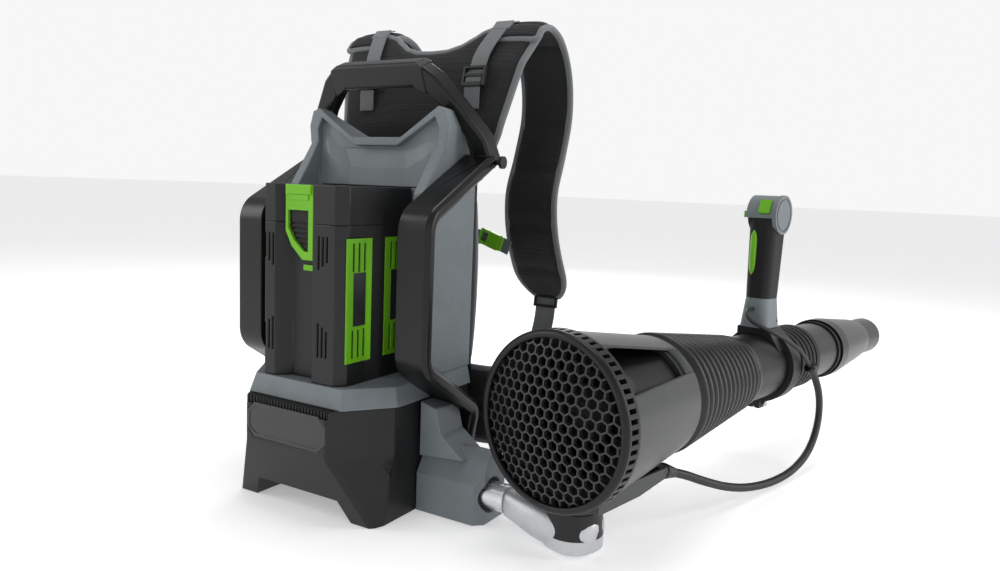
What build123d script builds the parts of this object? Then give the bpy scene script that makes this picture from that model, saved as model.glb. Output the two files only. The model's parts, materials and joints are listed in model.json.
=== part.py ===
from build123d import *
import os
from math import cos, sin, radians, pi

# Backpack leaf blower. Millimetres. +X is the operator's right, +Y the way the
# operator faces, +Z up. The origin is on the floor under the middle of the base.

# ---- fits ----
GAP = 0.3                 # air between neighbours
RUN = 0.05                # radial running fit
WALL = 3.0                # moulded wall

# ---- base, deck and battery ----
BASE_HALF_WIDTH = 117.0
BASE_TOP_HALF_WIDTH = 112.0
BASE_HALF_DEPTH = 98.0
BASE_HEIGHT = 141.0
ARCH_HEIGHT = 28.0        # clear height between the feet
ARCH_HALF_WIDTH = 66.0
CHIN_HALF_WIDTH = 70.0    # block on the rear of the base that carries the badge panel
CHIN_REACH = 36.0
FOOT_REAR = -103.0
SKIRT_TOP = 84.0          # height where the feet's flare ends
RELEASE_TRAVEL = 4.0
DECK_HEIGHT = 24.0
BATTERY_WIDTH = 131.0
BATTERY_DEPTH = 130.0
BATTERY_HEIGHT = 238.0
BATTERY_CAP_HEIGHT = 46.0
BATTERY_REAR = -110.0
BATTERY_WALL = 2.5
CHANNEL_DEPTH = 16.0      # groove down the rear of the battery that holds the latch
LATCH_TRAVEL = 3.0
CELL_RADIUS = 10.5
CELL_LENGTH = 70.0

# ---- shroud, guards and carry handle ----
SHROUD_HALF_WIDTH = 112.0
SHROUD_DEPTH = 74.0
CHEEK_REACH = 44.0        # side walls that run back beside the battery
CHEEK_THICKNESS = 14.0
GUARD_WIDTH = 46.0
GUARD_THICKNESS = 22.0
GUARD_REACH = 57.0        # rear strand behind the origin
HANDLE_RISE = 162.0       # top of the carry handle above the battery
HANDLE_THICKNESS = 28.0
HANDLE_SEAM = 75.0        # half length of the grip between its seams
HANDLE_LEAN = 23.5        # degrees back from upright

# ---- harness ----
PAD_CENTRE = 125.0        # middle of a shoulder pad from the centre plane
PAD_WIDTH = 80.0
PAD_THICKNESS = 16.0
YOKE_LEAN = 13.5          # degrees
CHEST_Z = 345.0           # where the chest strap leaves the left pad
CLIP_CENTRE = (62.0, 328.0)
CLIP_TILT = 18.0          # degrees
STRAP_THICKNESS = 2.0
STRAP_WIDTH = 25.0
BACK_PLATE = 5.0
BELT_BOTTOM = 58.0
BELT_TOP = 160.0

# ---- swing arm ----
ARM_Y = 3.0
ARM_Z = 34.0
ARM_HOUSING_LENGTH = 96.0
SHAFT_RADIUS = 17.5
SHAFT_BORE = 13.0
BUSH_WALL = 4.5
BUSH_LENGTH = 20.0
PIVOT_Y = -5.0
PIN_RADIUS = 9.0
COLLAR_RADIUS = 35.0
COLLAR_BOTTOM = 22.0
COLLAR_HEIGHT = 29.7

# ---- blower, in its own frame: origin at the middle of the intake guard, +Y downstream ----
YAW = 11.7                # degrees outward at rest
PITCH = 0.8               # degrees down at rest
INTAKE_RADIUS = 91.5
RIM_RADIUS = 99.0
RIM_WIDTH = 20.0
HEX_PITCH = 12.3
HEX_WEB = 1.5
DUCT_RADIUS = 62.0        # inside
DUCT_LENGTH = 195.0
DUCT_WALL = 4.0
PIVOT_S = 64.5            # station of the vertical pivot
PIVOT_X = -9.3
NACELLE_RADIUS = 36.0
FAN_TIP_GAP = 1.0
FAN_BLADES = 11
STATOR_VANES = 9
ROTOR_RADIUS = 22.0
MOTOR_SHAFT_RADIUS = 4.0
BELLOWS_RIBS = 13
BELLOWS_END = 407.0

# ---- wand ----
TUBE_RADIUS = 49.0        # outside of the front tube
TUBE_WALL = 2.5
SECOND_RADIUS = 45.0      # outside of the second tube
TUBE_START = 398.0
TUBE_JOINT = 552.0
SECOND_END = 748.0
COLLAR_LENGTH = 70.0
NOZZLE_END = 972.0
NOZZLE_MOUTH_RADIUS = 30.0
NOZZLE_WALL = 3.0
CLAMP_S = 517.0
CLAMP_LENGTH = 28.0
CLAMP_WALL = 8.0

# ---- control handle ----
HANDLE_X = -3.0
HANDLE_S = 505.0
GRIP_WIDTH = 37.0
GRIP_DEPTH = 48.0
GRIP_BASE_HEIGHT = 44.0
GRIP_LENGTH = 122.0
HEAD_RADIUS = 28.0
HEAD_WIDTH = 46.0
BUTTON_TRAVEL = 2.0

# ---- cord ----
CABLE_DIAMETER = 6.0
CONDUIT_DIAMETER = 10.5
CONDUIT_ROUTE = [
    (46, 164, -78), (50, 200, -88), (56, 248, -108), (62, 304, -128), (66, 364, -142),
    (71, 428, -148), (74, 490, -145), (75, 543, -128), (73, 576, -96), (70, 586, -56),
    (66, 572, -20), (64, 548, 2),
]
CABLE_ROUTE = [
    (64, 548, 2), (62, 524, 24), (54, 497, 41), (41, 478, 53), (25, 462, 63),
    (9, 453, 71), (-2, 454, 80), (-4, 466, 87), (-4, 480, 87),
]

# ---- derived ----
DECK_TOP = BASE_HEIGHT + DECK_HEIGHT
BATTERY_TOP = DECK_TOP + BATTERY_HEIGHT
CAP_SEAM = BATTERY_TOP - BATTERY_CAP_HEIGHT
BATTERY_FRONT = BATTERY_REAR + BATTERY_DEPTH
SHROUD_REAR = BATTERY_FRONT + 4
SHROUD_FRONT = SHROUD_REAR + SHROUD_DEPTH
HARNESS_Y = SHROUD_FRONT + BACK_PLATE + GAP
RIM_VALLEY = BATTERY_TOP + 65
RIM_PEAK = BATTERY_TOP + 104
ARM_START = BASE_HALF_WIDTH + GAP
ARM_END = ARM_START + ARM_HOUSING_LENGTH
COLLAR_TOP = COLLAR_BOTTOM + COLLAR_HEIGHT
PIVOT_WORLD_X = ARM_END + 15 + RIM_RADIUS
AXIS_Z = COLLAR_TOP + 13 + RIM_RADIUS
DUCT_OUTER = DUCT_RADIUS + DUCT_WALL
COVER_START = RIM_WIDTH + 3
COVER_END = DUCT_LENGTH - 7
COVER_FIRST = RIM_RADIUS - 4.5
COVER_LAST = DUCT_OUTER + 7
GUARD_INNER = SHROUD_HALF_WIDTH
GUARD_OUTER = GUARD_INNER + GUARD_WIDTH
ARCH_BASE_Z = BATTERY_TOP + 47
ARCH_BASE_Y = SHROUD_FRONT - 20
HEAD_Z = TUBE_RADIUS + CLAMP_WALL + 2 + GRIP_BASE_HEIGHT + GRIP_LENGTH + 3
HEAD_S = HANDLE_S + 2
HEAD_X0 = HANDLE_X - HEAD_WIDTH / 2
HEAD_X1 = HANDLE_X + HEAD_WIDTH / 2
BASE_FOOT_Z = TUBE_RADIUS + CLAMP_WALL + 2
GRIP_Z = BASE_FOOT_Z + GRIP_BASE_HEIGHT
TRIGGER_PIVOT = (HANDLE_S + 15, HEAD_Z - 22)


def blower_location():
    """Place of the blower's own frame, which puts its pivot over the arm's pin."""
    turn = Rot(0, 0, -YAW) * Rot(-PITCH, 0, 0)
    back = turn * Pos(PIVOT_X, PIVOT_S, 0)
    offset = back.position
    return Pos(PIVOT_WORLD_X - offset.X, PIVOT_Y - offset.Y, AXIS_Z) * turn


BLOWER = blower_location()


# ---- plain shapes ----
def box(x0, x1, y0, y1, z0, z1):
    return Pos((x0 + x1) / 2, (y0 + y1) / 2, (z0 + z1) / 2) * Box(x1 - x0, y1 - y0, z1 - z0)


def outline(points):
    return make_face(Polyline(*points, close=True))


def prism_x(points, x0, x1):
    """Points are (y, z)."""
    return Pos(x0, 0, 0) * extrude(Plane.YZ * outline(points), x1 - x0)


def prism_y(points, y0, y1):
    """Points are (x, z)."""
    return Pos(0, y1, 0) * extrude(Plane.XZ * outline(points), y1 - y0)


def prism_z(points, z0, z1):
    """Points are (x, y)."""
    return Pos(0, 0, z0) * extrude(outline(points), z1 - z0)


def rod_x(radius, x0, x1, y=0.0, z=0.0):
    return Pos((x0 + x1) / 2, y, z) * Rot(0, 90, 0) * Cylinder(radius, x1 - x0)


def rod_y(radius, y0, y1, x=0.0, z=0.0):
    return Pos(x, (y0 + y1) / 2, z) * Rot(90, 0, 0) * Cylinder(radius, y1 - y0)


def rod_z(radius, z0, z1, x=0.0, y=0.0):
    return Pos(x, y, (z0 + z1) / 2) * Cylinder(radius, z1 - z0)


def turned(points):
    """Solid of revolution about the Y axis; points are (radius, y)."""
    return revolve(outline(points), Axis.Y, 360)


def ring_y(outer, inner, y0, y1):
    return turned([(inner, y0), (outer, y0), (outer, y1), (inner, y1)])


def both_sides(points):
    """Right-hand half outline, from bottom to top, closed by its mirror image."""
    return list(points) + [(-x, y) for x, y in reversed(points)]


def mirrored(shape):
    return mirror(shape, about=Plane.YZ)


def group(*shapes):
    """Separate solids that share one node."""
    solids = []
    for shape in shapes:
        solids.extend(shape.solids())
    return Compound(children=solids)


# ---- base ----
def base_envelope():
    """Skirt that flares from the narrow rear block out to the feet."""
    rear = -BASE_HALF_DEPTH - CHIN_REACH
    corner = CHIN_HALF_WIDTH
    foot = both_sides([(108, FOOT_REAR), (113, FOOT_REAR + 5), (BASE_HALF_WIDTH, FOOT_REAR + 16),
                       (BASE_HALF_WIDTH, BASE_HALF_DEPTH)])
    waist = both_sides([(corner - 5, rear), (corner, rear + 6), (BASE_HALF_WIDTH - 3, -64),
                        (BASE_HALF_WIDTH - 3, BASE_HALF_DEPTH)])
    top = both_sides([(corner - 5, rear), (corner, rear + 6), (BASE_TOP_HALF_WIDTH, -62),
                      (BASE_TOP_HALF_WIDTH, BASE_HALF_DEPTH)])
    lower = loft([outline(foot), Pos(0, 0, SKIRT_TOP) * outline(waist)], ruled=True)
    upper = loft([Pos(0, 0, SKIRT_TOP) * outline(waist), Pos(0, 0, BASE_HEIGHT) * outline(top)], ruled=True)
    return lower + upper


def badge_outline(inset):
    half = CHIN_HALF_WIDTH - 5 - inset
    return both_sides([(half - 12, 90 + inset), (half, 102), (half, 122), (half - 12, 134 - inset)])


def base_housing():
    body = base_envelope()
    rear = -BASE_HALF_DEPTH - CHIN_REACH
    arch = both_sides([(ARCH_HALF_WIDTH + 14, -1), (ARCH_HALF_WIDTH, ARCH_HEIGHT)])
    body -= prism_y(arch, rear - 1, BASE_HALF_DEPTH + 1)
    hollow = both_sides([(68, 2 - BASE_HALF_DEPTH), (100, -56), (BASE_TOP_HALF_WIDTH - 6, -48),
                         (BASE_TOP_HALF_WIDTH - 6, BASE_HALF_DEPTH - WALL)])
    body -= prism_z(hollow, ARCH_HEIGHT + 2 * WALL, BASE_HEIGHT + 1)
    body -= prism_y(badge_outline(0), rear - 1, rear + 3)
    pocket_y = rear + 26
    body -= box(GAP - CHIN_HALF_WIDTH + 3, CHIN_HALF_WIDTH - 3 - GAP, rear - 1, pocket_y,
                BASE_HEIGHT - 9, BASE_HEIGHT + 1)
    return body


def badge_panel():
    rear = -BASE_HALF_DEPTH - CHIN_REACH
    plate = prism_y(badge_outline(GAP), rear + 0.6, rear + 3)
    rim = prism_y(badge_outline(4), rear, rear + 1.6)
    return plate - rim


def release_bar():
    rear = -BASE_HALF_DEPTH - CHIN_REACH
    half = CHIN_HALF_WIDTH - 4 - GAP
    bar = box(-half, half, rear + 3, rear + 24 - RELEASE_TRAVEL, BASE_HEIGHT - 9 + GAP, BASE_HEIGHT - GAP)
    count = 26
    pitch = 2 * half / count
    for i in range(count):
        x = -half + pitch * (i + 0.5)
        bar -= box(x - pitch / 5, x + pitch / 5, rear, rear + 5, BASE_HEIGHT - 10, BASE_HEIGHT)
    return bar


def deck_cover():
    lower = outline(both_sides([(76, -BASE_HALF_DEPTH - 22), (BASE_TOP_HALF_WIDTH + 4, -64),
                                (BASE_TOP_HALF_WIDTH + 4, BASE_HALF_DEPTH)]))
    upper = outline(both_sides([(71, -BASE_HALF_DEPTH - 15), (BASE_TOP_HALF_WIDTH - 2, -60),
                                (BASE_TOP_HALF_WIDTH - 2, BASE_HALF_DEPTH)]))
    deck = loft([Pos(0, 0, BASE_HEIGHT) * lower, Pos(0, 0, DECK_TOP) * upper], ruled=True)
    inner = both_sides([(64, -BASE_HALF_DEPTH - 8), (100, -56), (100, BASE_HALF_DEPTH - WALL)])
    deck -= prism_z(inner, BASE_HEIGHT - 1, DECK_TOP - WALL)
    deck -= terminal_well(GAP)
    return deck


def terminal_well(grow):
    return box(-32 - grow, 32 + grow, BATTERY_REAR + 48 - grow, BATTERY_REAR + 92 + grow,
               DECK_TOP - 14, DECK_TOP + 1)


def terminal_block():
    block = terminal_well(0) & box(-60, 60, -200, 200, 0, DECK_TOP)
    for x in (-18, -6, 6, 18):
        block += box(x - 1.5, x + 1.5, BATTERY_REAR + 55, BATTERY_REAR + 85, DECK_TOP - 2, DECK_TOP + 20)
    return block


def controller_board():
    floor = ARCH_HEIGHT + 2 * WALL
    board = box(-80, 80, -60, 60, floor + 8, floor + 10)
    for x in (-70, 70):
        for y in (-50, 50):
            board += rod_z(4, floor, floor + 9, x, y)
    sink = box(-30, 30, 0, 50, floor + 10, floor + 14)
    for i in range(8):
        sink += box(-30, 30, 1 + 6.5 * i, 3.5 + 6.5 * i, floor + 13, floor + 34)
    board += sink
    for x in (-60, -44):
        board += rod_z(7, floor + 9, floor + 38, x, -30)
    return board


# ---- arm housing ----
def arm_housing():
    barrel = [(ARM_Y - 27, 0), (ARM_Y - 27, 50), (ARM_Y - 8, 82), (ARM_Y - 2, 88), (ARM_Y + 8, 88),
              (ARM_Y + 30, 54), (ARM_Y + 30, 0)]
    body = prism_x(barrel, ARM_START, ARM_END)
    neck = [(ARM_START, 70), (ARM_START + 66, 76), (ARM_START + 32, 102), (ARM_START + 24, BASE_HEIGHT - 8),
            (ARM_START, BASE_HEIGHT - 1)]
    body += prism_y(neck, ARM_Y - 22, ARM_Y + 27)
    body -= rod_x(SHAFT_RADIUS + BUSH_WALL, ARM_START + 6, ARM_END + 1, ARM_Y, ARM_Z)
    return body - prism_z([(ARM_END - 12, ARM_Y - 28), (ARM_END + 1, ARM_Y - 28), (ARM_END + 1, ARM_Y - 15)],
                          -1, 90)


def arm_bushes():
    bushes = []
    for x in (ARM_START + 8, ARM_END - BUSH_LENGTH - 14):
        bush = rod_x(SHAFT_RADIUS + BUSH_WALL, x, x + BUSH_LENGTH, ARM_Y, ARM_Z)
        bush -= rod_x(SHAFT_RADIUS + RUN, x - 1, x + BUSH_LENGTH + 1, ARM_Y, ARM_Z)
        bushes.append(bush)
    return group(*bushes)


# ---- shroud ----
def shroud():
    front_view = both_sides([(SHROUD_HALF_WIDTH, DECK_TOP), (SHROUD_HALF_WIDTH, BATTERY_TOP + 37),
                             (SHROUD_HALF_WIDTH + 5, RIM_PEAK - 24), (SHROUD_HALF_WIDTH - 1, RIM_PEAK - 4),
                             (SHROUD_HALF_WIDTH - 12, RIM_PEAK), (41, RIM_VALLEY)])
    body = prism_y(front_view, SHROUD_REAR, SHROUD_FRONT)
    lip = SHROUD_REAR + 22
    body -= prism_x([(lip, RIM_PEAK + 5), (lip, RIM_PEAK - 10), (SHROUD_FRONT + 1, BATTERY_TOP + 24),
                     (SHROUD_FRONT + 1, RIM_PEAK + 5)], -GUARD_OUTER, GUARD_OUTER)
    cheek = prism_x([(SHROUD_REAR - CHEEK_REACH, DECK_TOP), (SHROUD_REAR + 1, DECK_TOP),
                     (SHROUD_REAR + 1, RIM_PEAK - 44), (SHROUD_REAR - CHEEK_REACH, BATTERY_TOP - 6)],
                    SHROUD_HALF_WIDTH - CHEEK_THICKNESS, SHROUD_HALF_WIDTH)
    body = body + cheek + mirrored(cheek)
    mouth = both_sides([(96, BATTERY_TOP), (102, RIM_PEAK - 28), (95, RIM_PEAK - 13), (36, RIM_VALLEY - 11)])
    depth = [(SHROUD_REAR - 60, BATTERY_TOP), (SHROUD_REAR + 44, BATTERY_TOP),
             (SHROUD_REAR + 44, BATTERY_TOP + 14), (SHROUD_REAR + 10, RIM_VALLEY - 14),
             (SHROUD_REAR + 10, RIM_PEAK), (SHROUD_REAR - 60, RIM_PEAK)]
    body -= prism_y(mouth, SHROUD_REAR - 60, SHROUD_FRONT - 10) & prism_x(depth, -110, 110)
    inside = SHROUD_HALF_WIDTH - 2 * WALL
    body -= box(-inside, inside, SHROUD_REAR + WALL, SHROUD_FRONT - WALL, DECK_TOP - 1, BATTERY_TOP - 8)
    return body


def back_plate():
    plate = box(-SHROUD_HALF_WIDTH, SHROUD_HALF_WIDTH, SHROUD_FRONT, SHROUD_FRONT + BACK_PLATE,
                ARCH_HEIGHT + 4, BATTERY_TOP + 20)
    plate -= box(-60, 60, SHROUD_FRONT - 1, SHROUD_FRONT + 6, 60, BASE_HEIGHT)
    return plate


# ---- guards and carry handle ----
ARCH = Plane(origin=(0, ARCH_BASE_Y, ARCH_BASE_Z), x_dir=(1, 0, 0),
             z_dir=(0, -cos(radians(HANDLE_LEAN)), -sin(radians(HANDLE_LEAN))))
ARCH_TOP = (HANDLE_RISE - (ARCH_BASE_Z - BATTERY_TOP)) / cos(radians(HANDLE_LEAN))


def guard_path():
    points = [(GUARD_INNER + GUARD_WIDTH / 2, y, z) for y, z in (
        (ARCH_BASE_Y - 34, 82), (ARCH_BASE_Y - 22, DECK_TOP - 44), (-GUARD_REACH, DECK_TOP + 28),
        (-GUARD_REACH, BATTERY_TOP - 36), (ARCH_BASE_Y - 2, ARCH_BASE_Z - 10))]
    return FilletPolyline(*points, radius=[16, 26, 26])


def guard_section(path):
    half = GUARD_WIDTH / 2
    deep = GUARD_THICKNESS / 2
    points = [(-half + 4, deep), (-half, deep - 4), (-half, -deep), (half - 5, -deep), (half, -deep + 5),
              (half, 1), (half - 7, deep - 3), (half - 14, deep)]
    start = Plane(origin=path @ 0, x_dir=(1, 0, 0), z_dir=path % 0)
    return start * outline(points)


def guard_frame():
    path = guard_path()
    bar = sweep(guard_section(path), path=path)
    leg = [(HANDLE_SEAM, ARCH_TOP - 6), (92, ARCH_TOP - 19), (122, 66), (149, 24), (GUARD_OUTER - 3, -14),
           (GUARD_OUTER - 30, -14), (124, 22), (100, 58), (HANDLE_SEAM, ARCH_TOP - 41)]
    arch = extrude(ARCH * outline(leg), HANDLE_THICKNESS / 2 - 1, both=True)
    arch = chamfer(arch.edges().filter_by(lambda e: abs(e.length - HANDLE_THICKNESS + 2) > 0.5
                                          and e.center().X > HANDLE_SEAM + 1), 3)
    frame = bar + arch
    return frame - base_envelope()


def carry_handle():
    half = [(HANDLE_SEAM - 13, ARCH_TOP - 33), (HANDLE_SEAM, ARCH_TOP - 41), (HANDLE_SEAM, ARCH_TOP - 6),
            (HANDLE_SEAM - 9, ARCH_TOP)]
    grip = extrude(ARCH * outline(both_sides(half)), HANDLE_THICKNESS / 2, both=True)
    return fillet(grip.edges().filter_by(Axis.X), 6)


def accessory_peg():
    y = ARCH_BASE_Y - 4
    z = ARCH_BASE_Z - 10
    post = rod_x(3.5, GUARD_OUTER - 3, GUARD_OUTER + 7, y, z)
    return post + rod_x(8, GUARD_OUTER + 7, GUARD_OUTER + 11, y, z)


def frame_screws():
    """Screws that hold the back plate to the shroud, heads outside."""
    screws = []
    for x in (-95, 95):
        for z in (DECK_TOP + 20, DECK_TOP + 120, BATTERY_TOP - 20):
            head = rod_y(5, SHROUD_FRONT + 2, SHROUD_FRONT + 5, x, z)
            screws.append(head + rod_y(2, SHROUD_FRONT - WALL, SHROUD_FRONT + 3, x, z))
    return group(*screws)


# ---- harness: plain solids of the padding ----
YOKE_LINE = [(HARNESS_Y + 9, 420), (HARNESS_Y + 12, 490), (HARNESS_Y + 32, 573), (HARNESS_Y + 52, 606)]
PAD_LINE = [(HARNESS_Y + 52.5, 607), (HARNESS_Y + 67, 622), (HARNESS_Y + 95, 628), (HARNESS_Y + 130, 613),
            (HARNESS_Y + 158, 571), (HARNESS_Y + 165, 515), (HARNESS_Y + 148, 455), (HARNESS_Y + 128, 400),
            (HARNESS_Y + 134, 345), (HARNESS_Y + 160, 290), (HARNESS_Y + 196, 243)]


def ribbon(points, thickness, x0, x1):
    """Band of even thickness that follows a line of (y, z) points."""
    path = Plane.YZ * Polyline(*points)
    start = Plane(origin=path @ 0, x_dir=(1, 0, 0), z_dir=path % 0)
    band = sweep(start * Rectangle(x1 - x0, thickness), path=path, transition=Transition.RIGHT)
    return Pos((x0 + x1) / 2, 0, 0) * band


def back_pad():
    pad = box(-105, 105, HARNESS_Y, HARNESS_Y + 22, BASE_HEIGHT + 20, 400)
    return fillet(pad.edges().filter_by(Axis.Y), 20)


def harness_yoke():
    outer = PAD_CENTRE + PAD_WIDTH / 2
    panel = ribbon(YOKE_LINE, PAD_THICKNESS, -outer, outer)
    front_view = both_sides([(100, 400), (outer - 32, 480), (outer - 14, 573), (outer, 622), (78, 622),
                             (60, 606), (30, 594)])
    return panel & prism_y(front_view, 0, 300)


def shoulder_pad():
    pad = ribbon(PAD_LINE, PAD_THICKNESS, PAD_CENTRE - PAD_WIDTH / 2, PAD_CENTRE + PAD_WIDTH / 2)
    return pad


def hip_belt():
    """Lumbar pad with a wing that curves forward on each side."""
    right = [(0, HARNESS_Y), (132, HARNESS_Y), (160, HARNESS_Y + 22), (172, HARNESS_Y + 70),
             (168, HARNESS_Y + 112), (156, HARNESS_Y + 110), (157, HARNESS_Y + 70), (148, HARNESS_Y + 34),
             (124, HARNESS_Y + 18), (0, HARNESS_Y + 18)]
    wing = prism_z(right, BELT_BOTTOM, BELT_TOP)
    return wing + mirrored(wing)


def harness_webbing():
    """Load lifters, lower straps and the two halves of the chest strap."""
    lifter = ribbon([(HARNESS_Y + 19.5, 567), (HARNESS_Y + 23, 577.5), (HARNESS_Y + 42.8, 611.5),
                     (HARNESS_Y + 62.5, 632), (HARNESS_Y + 80, 637.5)], STRAP_THICKNESS, 84, 114)
    lower = ribbon([(HARNESS_Y + 196.5, 232), (HARNESS_Y + 190, 185), (HARNESS_Y + 150, 120),
                    (HARNESS_Y + 60, 78), (HARNESS_Y + 28, 84)], STRAP_THICKNESS, 110, 136)
    inner = PAD_CENTRE - PAD_WIDTH / 2 - GAP
    x, z = CLIP_CENTRE
    long_half = chest_strap([(-inner, CHEST_Z), (x - 10, z + 6)])
    short_half = chest_strap([(x + 10, z - 2), (inner, z - 8)])
    return group(lifter, mirrored(lifter), lower, mirrored(lower), long_half, short_half)


def chest_strap(ends):
    """Flat strap between two (x, z) points on the line of the chest."""
    (x0, z0), (x1, z1) = ends
    half = STRAP_WIDTH / 2
    return prism_y([(x0, z0 - half), (x1, z1 - half), (x1, z1 + half), (x0, z0 + half)],
                   HARNESS_Y + 128, HARNESS_Y + 128 + STRAP_THICKNESS)


def harness_buckles():
    """Two ladder locks on the load lifters and the chest buckle."""
    lock = Pos(99, HARNESS_Y + 15.5, 554) * Rot(-YOKE_LEAN, 0, 0) * Box(38, 5, 22)
    x, z = CLIP_CENTRE
    clip = Pos(x, HARNESS_Y + 129, z) * Rot(0, CLIP_TILT, 0) * Box(32, 10, STRAP_WIDTH + 3)
    return group(lock, mirrored(lock), clip)


# ---- battery ----
def battery_outline():
    half = BATTERY_WIDTH / 2
    floor = BATTERY_REAR + CHANNEL_DEPTH
    return [(-half, BATTERY_REAR + 10), (6 - half, BATTERY_REAR), (-42, BATTERY_REAR), (-27, floor),
            (19, floor), (19, BATTERY_REAR), (half - 11, BATTERY_REAR), (half, BATTERY_REAR + 12),
            (half, BATTERY_FRONT), (-half, BATTERY_FRONT)]


def battery_case():
    half = BATTERY_WIDTH / 2
    floor = DECK_TOP + GAP
    case = prism_z(battery_outline(), floor, CAP_SEAM)
    case -= box(3 - half, half - 3, BATTERY_REAR + CHANNEL_DEPTH + BATTERY_WALL,
                BATTERY_FRONT - BATTERY_WALL, floor + 26, CAP_SEAM + 1)
    case -= box(-26, 26, BATTERY_REAR + 52, BATTERY_REAR + 88, floor - 1, floor + 22.5)
    for x0 in (-60.5, 27.5):
        for i in range(3):
            x = x0 + 6.5 * i
            step = 4.5 * (2 - i if x0 < 0 else i)
            for low, high in ((CAP_SEAM - 54 + step, CAP_SEAM - 14), (floor + 32, floor + 74 - step)):
                case -= box(x, x + 2.6, BATTERY_REAR - 1, BATTERY_REAR + 7, low, high)
    for side in (-1, 1):
        for y0 in (BATTERY_REAR + 8, BATTERY_REAR + 78):
            case -= Pos(side * half, y0 + 22.5, floor + 102) * Box(2.4, 45, 150)
    return case


def battery_cap():
    cap = prism_z(battery_outline(), CAP_SEAM, BATTERY_TOP)
    half = BATTERY_WIDTH / 2
    cap -= box(4 - half, half - 4, BATTERY_REAR + CHANNEL_DEPTH + 3, BATTERY_FRONT - 4, CAP_SEAM - 1,
               BATTERY_TOP - 12)
    cap -= box(-44, 44, BATTERY_REAR + 44, BATTERY_FRONT - 30, BATTERY_TOP - 7, BATTERY_TOP + 1)
    return cap


def latch_frame():
    face = BATTERY_REAR + CHANNEL_DEPTH - GAP
    plate = [(-26, BATTERY_TOP - 1), (18.5, BATTERY_TOP - 1), (18.5, BATTERY_TOP - 90), (2, BATTERY_TOP - 90),
             (-16, BATTERY_TOP - 74), (-26, BATTERY_TOP - 56)]
    window = [(-22, BATTERY_TOP - 31), (11, BATTERY_TOP - 31), (11, BATTERY_TOP - 80), (4, BATTERY_TOP - 80),
              (-13, BATTERY_TOP - 66), (-22, BATTERY_TOP - 52)]
    return prism_y(plate, BATTERY_REAR + 1, face) - prism_y(window, BATTERY_REAR, face + 1)


def latch_pad():
    face = BATTERY_REAR + CHANNEL_DEPTH - GAP
    pad = [(-21.5, BATTERY_TOP - 31.5), (10.5, BATTERY_TOP - 31.5), (10.5, BATTERY_TOP - 79.5),
           (4.2, BATTERY_TOP - 79.5), (-12.7, BATTERY_TOP - 65.5), (-21.5, BATTERY_TOP - 51.7)]
    body = prism_y(pad, BATTERY_REAR + 4, face - LATCH_TRAVEL - GAP)
    for i in range(5):
        z = BATTERY_TOP - 72 + 6 * i
        body -= box(-30, 20, BATTERY_REAR + 3, BATTERY_REAR + 5.5, z, z + 2.5)
    return body


def side_vents():
    """Slotted grilles let into both sides of the battery, two a side."""
    plates = []
    half = BATTERY_WIDTH / 2
    middle = DECK_TOP + GAP + 102
    for side in (-1, 1):
        for y0 in (BATTERY_REAR + 8, BATTERY_REAR + 78):
            plate = Pos(side * half, y0 + 22.5, middle) * Box(2, 44.4, 149)
            for z in (middle - 52, middle + 52):
                for y in (y0 + 12, y0 + 22, y0 + 32):
                    plate -= Pos(side * half, y, z) * Box(4, 4, 34)
            plates.append(plate)
    return group(*plates)


def cell_pack():
    """Two layers of upright cells."""
    cells = []
    bottom = DECK_TOP + GAP + 27
    step = 2 * CELL_RADIUS + 1
    for layer in range(2):
        z = bottom + layer * (CELL_LENGTH + 2)
        for column in range(5):
            for row in range(4):
                x = (column - 2) * step
                y = (BATTERY_REAR + CHANNEL_DEPTH + BATTERY_FRONT) / 2 + (row - 1.5) * step
                cells.append(rod_z(CELL_RADIUS, z, z + CELL_LENGTH, x, y))
    return group(*cells)


def battery_contacts():
    """Spring fingers, one each side of every blade."""
    fingers = []
    for x in (-18, -6, 6, 18):
        for side in (-1, 1):
            blade = 1.5 + GAP
            x0, x1 = sorted((x + side * blade, x + side * (blade + 1.2)))
            fingers.append(box(x0, x1, BATTERY_REAR + 58, BATTERY_REAR + 82, DECK_TOP + GAP + 4,
                               DECK_TOP + GAP + 22.4))
    return group(*fingers)


# ---- swing arm ----
def arm_shaft():
    shaft = rod_x(SHAFT_RADIUS, ARM_START + 7, PIVOT_WORLD_X - COLLAR_RADIUS - 1, ARM_Y, ARM_Z)
    return shaft - rod_x(SHAFT_BORE, ARM_START + 6, PIVOT_WORLD_X - COLLAR_RADIUS - 12, ARM_Y, ARM_Z)


def elbow_casting():
    x = PIVOT_WORLD_X
    start = x - COLLAR_RADIUS
    hub = rod_z(COLLAR_RADIUS, 8, COLLAR_BOTTOM, x, PIVOT_Y)
    cup = Pos(x, PIVOT_Y, 5) * Cone(COLLAR_RADIUS - 9, COLLAR_RADIUS, 6)
    sleeve = rod_x(SHAFT_RADIUS + 3.5, start - 26, start - 1, ARM_Y, ARM_Z)
    web = prism_y([(start - 52, ARM_Z - 14), (start - 26, ARM_Z - 18), (start - 4, 3), (x + 16, 2),
                   (x + 24, 8), (x + 20, COLLAR_BOTTOM), (start - 1, COLLAR_BOTTOM), (start - 1, ARM_Z - 8),
                   (start - 52, ARM_Z - 8)], ARM_Y - 17, ARM_Y + 12)
    body = hub + cup + sleeve + web
    body -= rod_x(SHAFT_RADIUS, ARM_END, start - 1, ARM_Y, ARM_Z)
    return body - rod_z(PIN_RADIUS, 8, COLLAR_BOTTOM + 1, x, PIVOT_Y)


def swivel_collar():
    collar = Pos(PIVOT_WORLD_X, PIVOT_Y, (COLLAR_BOTTOM + COLLAR_TOP) / 2) * Cone(
        COLLAR_RADIUS, COLLAR_RADIUS - 2, COLLAR_HEIGHT)
    return collar - rod_z(PIN_RADIUS, 0, COLLAR_TOP + 1, PIVOT_WORLD_X, PIVOT_Y)


PIN_TOP = AXIS_Z - DUCT_OUTER - 8


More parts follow.
